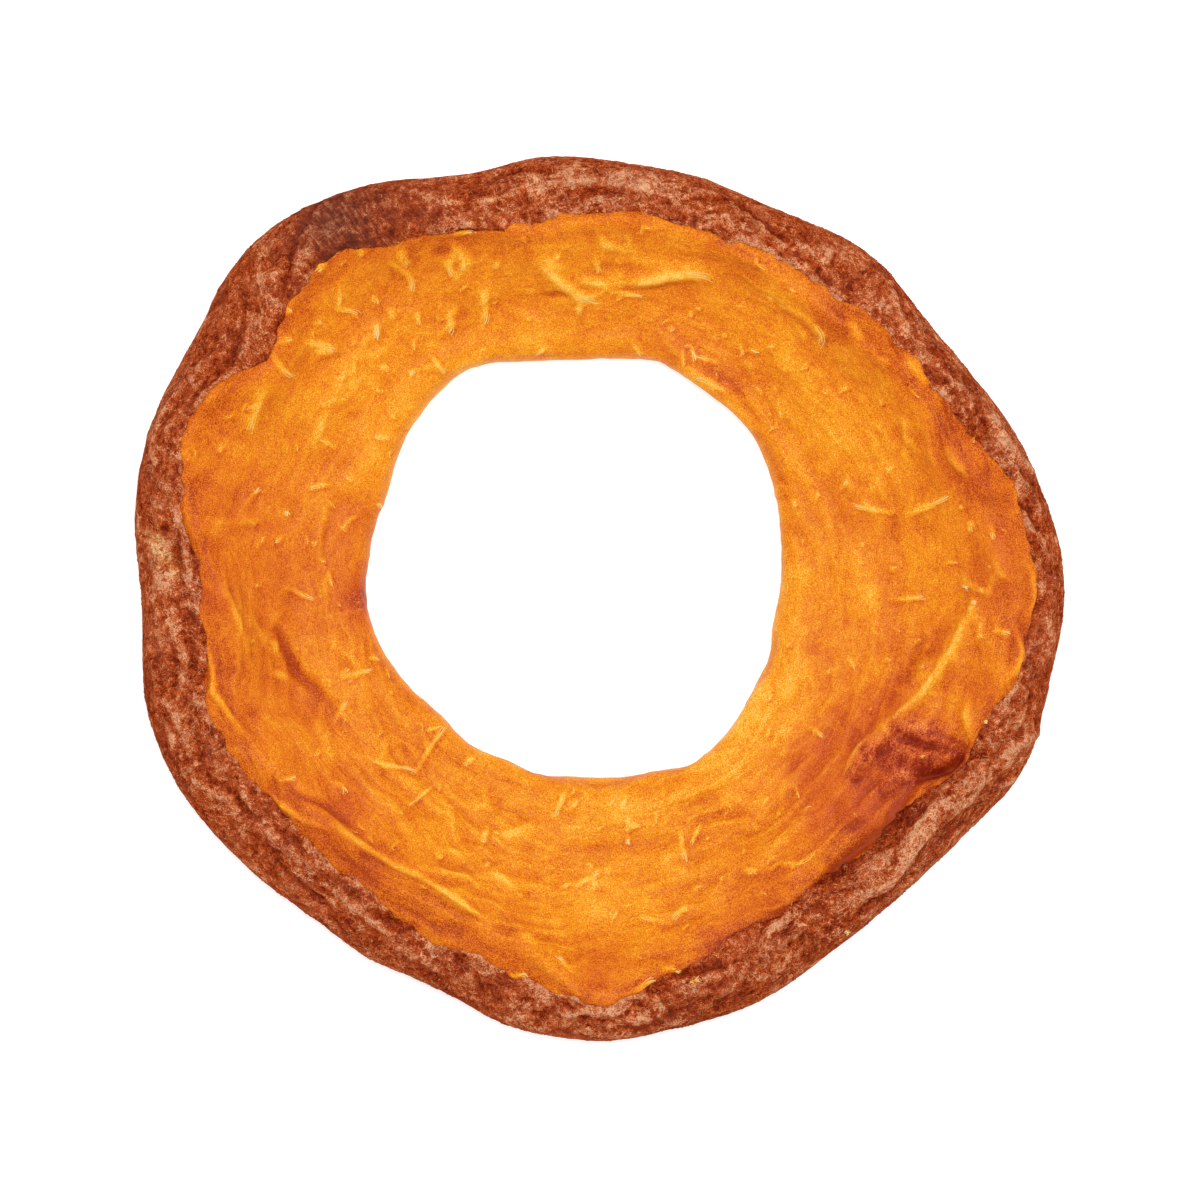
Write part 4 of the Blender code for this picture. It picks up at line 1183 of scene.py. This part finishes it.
def flesh_material():
    """Streaked orange flesh, blushed and bruised in spots, with pale strands; painted shade by the skin, in
    creases and beside strands, painted highlight on folds, painted glow by the hole.
    """
    shader = Shader("dried_flesh")
    place = shader.place()
    flow = shader.stretched(shader.attribute("flow", "Vector"), (0.14, 0.14, 1.0))
    inward = shader.attribute("inward")
    lined = shader.attribute("lined")
    fold = shader.attribute("fold")
    mottle = shader.noise(place, 0.50, detail=4.0, distortion=0.8, roughness=0.6)
    streaks = shader.noise(flow, 0.34, detail=4.0, roughness=0.6)
    faint = shader.ramp(mottle, 0.0, 1.0, 0.2, 0.8)
    streaks = shader.blend(shader.ramp(lined, 0.0, 1.2, 0.2, 1.0), faint, streaks)
    wisps = shader.crests(shader.stretched(flow, (2.5, 2.5, 1.0)), 1.5, detail=5.0, distortion=0.8)
    crumple = shader.crests(place, 0.8, distortion=0.6)
    thin_lines = shader.ramp(shader.crests(flow, 0.5, detail=3.0, distortion=0.5, roughness=0.6), 1.4, 2.4)
    clouds = shader.noise(place, 2.0, detail=4.0, distortion=0.5, roughness=0.55)
    grain = shader.noise(place, 0.052, detail=1.0, roughness=0.6)
    uneven = shader.ramp(streaks, 0.62, 0.34, 0.75, 1.1)
    bruised = shader.total(shader.attribute("bruise"), shader.ramp(mottle, 0.3, 0.7, 0.25, -0.25))
    bruised = shader.ramp(bruised, 0.25, 0.85, 0.0, 0.90)
    # Blush and bruise are stains in the flesh; the third term is painted shade near the skin's edge.
    stains_and_shade = shader.total(
        shader.product(shader.attribute("blush"), -0.20),
        shader.product(shader.attribute("flesh_shade"), -0.24),
        shader.product(shader.attribute("bruise"), shader.ramp(fold, 0.2, 0.9, -0.28, -0.08)),
    )
    tone = shader.total(
        shader.ramp(clouds, 0.36, 0.64, 0.53, 0.63),
        # Painted glow of light through the thin flesh by the hole, and painted shade towards the skin's edge.
        shader.ramp(inward, 0.30, 0.0, 0.0, 0.04),
        shader.ramp(inward, 0.72, 1.0, 0.0, -0.18),
        shader.product(shader.attribute("glow"), 0.16),
        shader.product(stains_and_shade, uneven),
        shader.product(bruised, shader.ramp(crumple, 1.2, 2.6, -0.12, 0.26)),
        shader.product(thin_lines, bruised, -0.16),
        shader.ramp(streaks, 0.30, 0.70, -0.04, 0.04),
        shader.ramp(wisps, 1.2, 2.6, -0.04, 0.06),
        # Painted shade in hollows and creases and painted highlight on ridges and folds, following the
        # relief.
        shader.ramp(shader.attribute("valley"), -2.2, 2.2, -0.06, 0.06),
        shader.ramp(shader.attribute("hollow"), -2.2, 2.2, -0.10, 0.10),
        shader.ramp(fold, 0.1, 1.0, 0.0, 0.18),
        shader.ramp(fold, -0.1, -1.4, 0.0, -0.18),
        shader.product(thin_lines, shader.ramp(lined, 0.0, 1.2, -0.05, -0.15)),
        # Thin lines drawn darker in the painted shade by the skin's edge.
        shader.product(thin_lines, shader.attribute("flesh_shade"), -0.14),
        shader.ramp(shader.attribute("strand"), 0.1, 0.8, 0.0, 0.30),
        # Painted shadow beside each strand.
        shader.product(shader.attribute("around"), -0.17),
        shader.product(shader.seams(place, 0.42, 0.030), 0.11),
        shader.product(shader.seams(shader.mirrored(place), 0.50, 0.030), -0.10),
        shader.ramp(grain, 0.30, 0.70, -0.27, 0.27),
    )
    base = shader.tones(shader.math("MAXIMUM", tone, 0.12), FLESH_TONES)
    base = shader.mix(shader.product(shader.attribute("blush"), 0.35), base, BLUSH_RED)
    inputs = {
        "Base Color": shader.mix(bruised, base, shader.tones(tone, BRUISE_TONES)),
        "Roughness": 0.45,
        "Specular IOR Level": 0.08,
        "Subsurface Weight": 0.25,
        "Subsurface Radius": (1.0, 0.35, 0.10),
        "Subsurface Scale": 0.3 * MM,
        "Normal": shader.bump(streaks, 0.12),
    }
    shader.fill(shader.surface, inputs)
    return shader.material


def skin_material():
    """Brown-red wrinkled skin: pale seams and folds, a pale scar and one bare striped patch, with painted
    shade in its hollows, painted highlight on its crests and a painted sheen.
    """
    shader = Shader("dried_skin")
    place = shader.place()
    mirrored = shader.mirrored(place)
    valley = shader.attribute("valley")
    patches = shader.noise(place, 1.9, detail=4.0, distortion=1.0, roughness=0.6)
    shades = shader.noise(place, 0.8, detail=5.0, distortion=1.2, roughness=0.65)
    striped = shader.attribute("striped")
    scar = shader.product(shader.attribute("scar"), shader.ramp(shades, 0.40, 0.52, 0.85, 1.0))
    stripes = shader.noise(shader.stretched(shader.attribute("ring", "Vector"), (1.4, 1.4, 0.25)), 0.18)
    pillows = shader.crests(place, 1.5, detail=3.0, distortion=1.2, roughness=0.5)
    folds = shader.crests(place, 0.55, distortion=1.2)
    gaps = shader.crests(mirrored, 0.8, detail=5.0)
    grain = shader.noise(place, 0.042, detail=1.0, roughness=0.7)
    crowd = shader.total(
        shader.noise(place, 1.1, detail=3.0, roughness=0.6),
        shader.ramp(pillows, 1.3, 2.4, -0.13, 0.13),
        shader.ramp(valley, -1.5, 1.5, -0.10, 0.10),
        shader.product(shader.attribute("pale"), 0.20),
    )
    fringe = shader.ramp(shader.attribute("from_flesh"), 0.20, 0.06, 0.0, 0.8)
    crowd = shader.math("MAXIMUM", shader.ramp(crowd, 0.42, 0.60, 0.25, 1.0), fringe)
    tone = shader.total(
        shader.ramp(patches, 0.38, 0.62, 0.82, 0.59),
        shader.ramp(shades, 0.34, 0.66, 0.09, -0.09),
        # Painted highlight on the crests of the bumped pillows and painted shade between them.
        shader.ramp(pillows, 1.2, 2.5, -0.11, 0.15),
        shader.product(shader.attribute("dark"), -0.16),
        shader.product(shader.attribute("pale"), 0.10),
        # Painted shade in the skin's hollows and painted highlight on its ridges.
        shader.ramp(valley, -2.2, 2.2, -0.17, 0.11),
        shader.ramp(shader.attribute("hollow"), -2.2, 2.2, -0.17, 0.12),
        shader.product(shader.attribute("outward"), 0.02),
        shader.ramp(folds, 1.2, 2.6, -0.12, 0.20),
        shader.ramp(gaps, 1.5, 2.7, 0.04, -0.24),
        shader.product(shader.seams(place, 0.62, 0.034), crowd, 0.50),
        shader.product(shader.seams(place, 0.36, 0.028), crowd, 0.38),
        shader.product(shader.seams(mirrored, 0.50, 0.032), -0.24),
        shader.product(scar, 0.08),
        shader.product(striped, shader.ramp(stripes, 0.36, 0.64, -0.30, 0.30)),
        shader.ramp(grain, 0.30, 0.70, -0.30, 0.30),
    )
    # Painted sheen: a greyish veil over patches of the skin.
    painted_sheen = shader.ramp(shader.noise(mirrored, 1.4, detail=3.0, distortion=0.8), 0.45, 0.66, 0.0, 0.20)
    base = shader.mix(painted_sheen, shader.tones(tone, SKIN_TONES), SKIN_SHEEN)
    base = shader.mix(scar, base, shader.tones(tone, SCAR_TONES))
    normal = None
    for height, depth in ((shades, 0.10), (pillows, 0.07), (folds, 0.03)):
        normal = shader.bump(height, depth, below=normal)
    inputs = {
        "Base Color": shader.mix(shader.product(striped, 0.60), base, SKIN_BARE),
        "Roughness": 0.5,
        "Specular IOR Level": 0.0,
        "Normal": normal,
    }
    shader.fill(shader.surface, inputs)
    return shader.material


def thread_material(name, dim, bright):
    """Two tones along a thread, with a slight grain."""
    shader = Shader(name)
    grain = shader.noise(shader.place(), 0.15, detail=2.0)
    pale = shader.math("ADD", shader.attribute("pale"), shader.ramp(grain, 0.3, 0.7, -0.12, 0.12))
    inputs = {
        "Base Color": shader.mix(pale, dim, bright),
        "Roughness": 0.6,
        "Specular IOR Level": 0.0,
        "Normal": shader.bump(grain, 0.03),
    }
    shader.fill(shader.surface, inputs)
    return shader.material


def strand_material():
    """Torn fibres: the flesh's yellow, pale at their ends."""
    return thread_material("dried_fibre", STRAND_YELLOW, STRAND_CREAM)


def fuzz_material():
    """The skin's hairs, from dim to pale."""
    return thread_material("skin_fuzz", HAIR_DIM, HAIR_BRIGHT)


def floor_material():
    """A white surface that glows a little, so that it shows white."""
    shader = Shader("pale_floor")
    inputs = {
        "Base Color": FLOOR_WHITE,
        "Roughness": 0.9,
        "Specular IOR Level": 0.0,
        "Emission Color": FLOOR_WHITE,
        "Emission Strength": FLOOR_GLOW,
    }
    shader.fill(shader.surface, inputs)
    return shader.material


# STUDIO
def make_floor():
    """The surface that the slice lies on."""
    bpy.ops.mesh.primitive_plane_add(size=FLOOR_SIZE)
    floor = bpy.context.active_object
    floor.name = "floor"
    floor.data.materials.append(floor_material())


def make_studio():
    """Even light from all round and one soft lamp above."""
    world = bpy.data.worlds.new("studio")
    world.use_nodes = True
    background = world.node_tree.nodes["Background"]
    background.inputs["Color"].default_value = (1.0, 1.0, 1.0, 1.0)
    background.inputs["Strength"].default_value = SKY_LEVEL
    bpy.context.scene.world = world
    data = bpy.data.lights.new("key", "AREA")
    data.shape = "DISK"
    data.size = KEY_SIZE
    data.energy = KEY_POWER
    light = bpy.data.objects.new("key", data)
    light.location = KEY_PLACE
    light.rotation_mode = "QUATERNION"
    light.rotation_quaternion = light.location.to_track_quat("Z", "Y")
    bpy.context.scene.collection.objects.link(light)


def make_camera():
    """A long lens straight above, so that the slice's cut face shows without perspective."""
    data = bpy.data.cameras.new("camera")
    data.sensor_width = 36.0
    data.lens = 200.0
    data.clip_start = 0.01
    data.clip_end = 10.0
    camera = bpy.data.objects.new("camera", data)
    above = FRAME_WIDTH * data.lens / data.sensor_width
    camera.location = (FRAME_MIDDLE[0] * MM, FRAME_MIDDLE[1] * MM, (above + WAIST_HEIGHT) * MM)
    bpy.context.scene.collection.objects.link(camera)
    bpy.context.scene.camera = camera


def main():
    """Build the scene."""
    make_camera()
    make_floor()
    make_studio()
    make_flesh()
    make_skin()
    make_strands()
    make_fuzz()
    bpy.context.scene.view_settings.view_transform = "Standard"
    bpy.context.view_layer.update()


main()
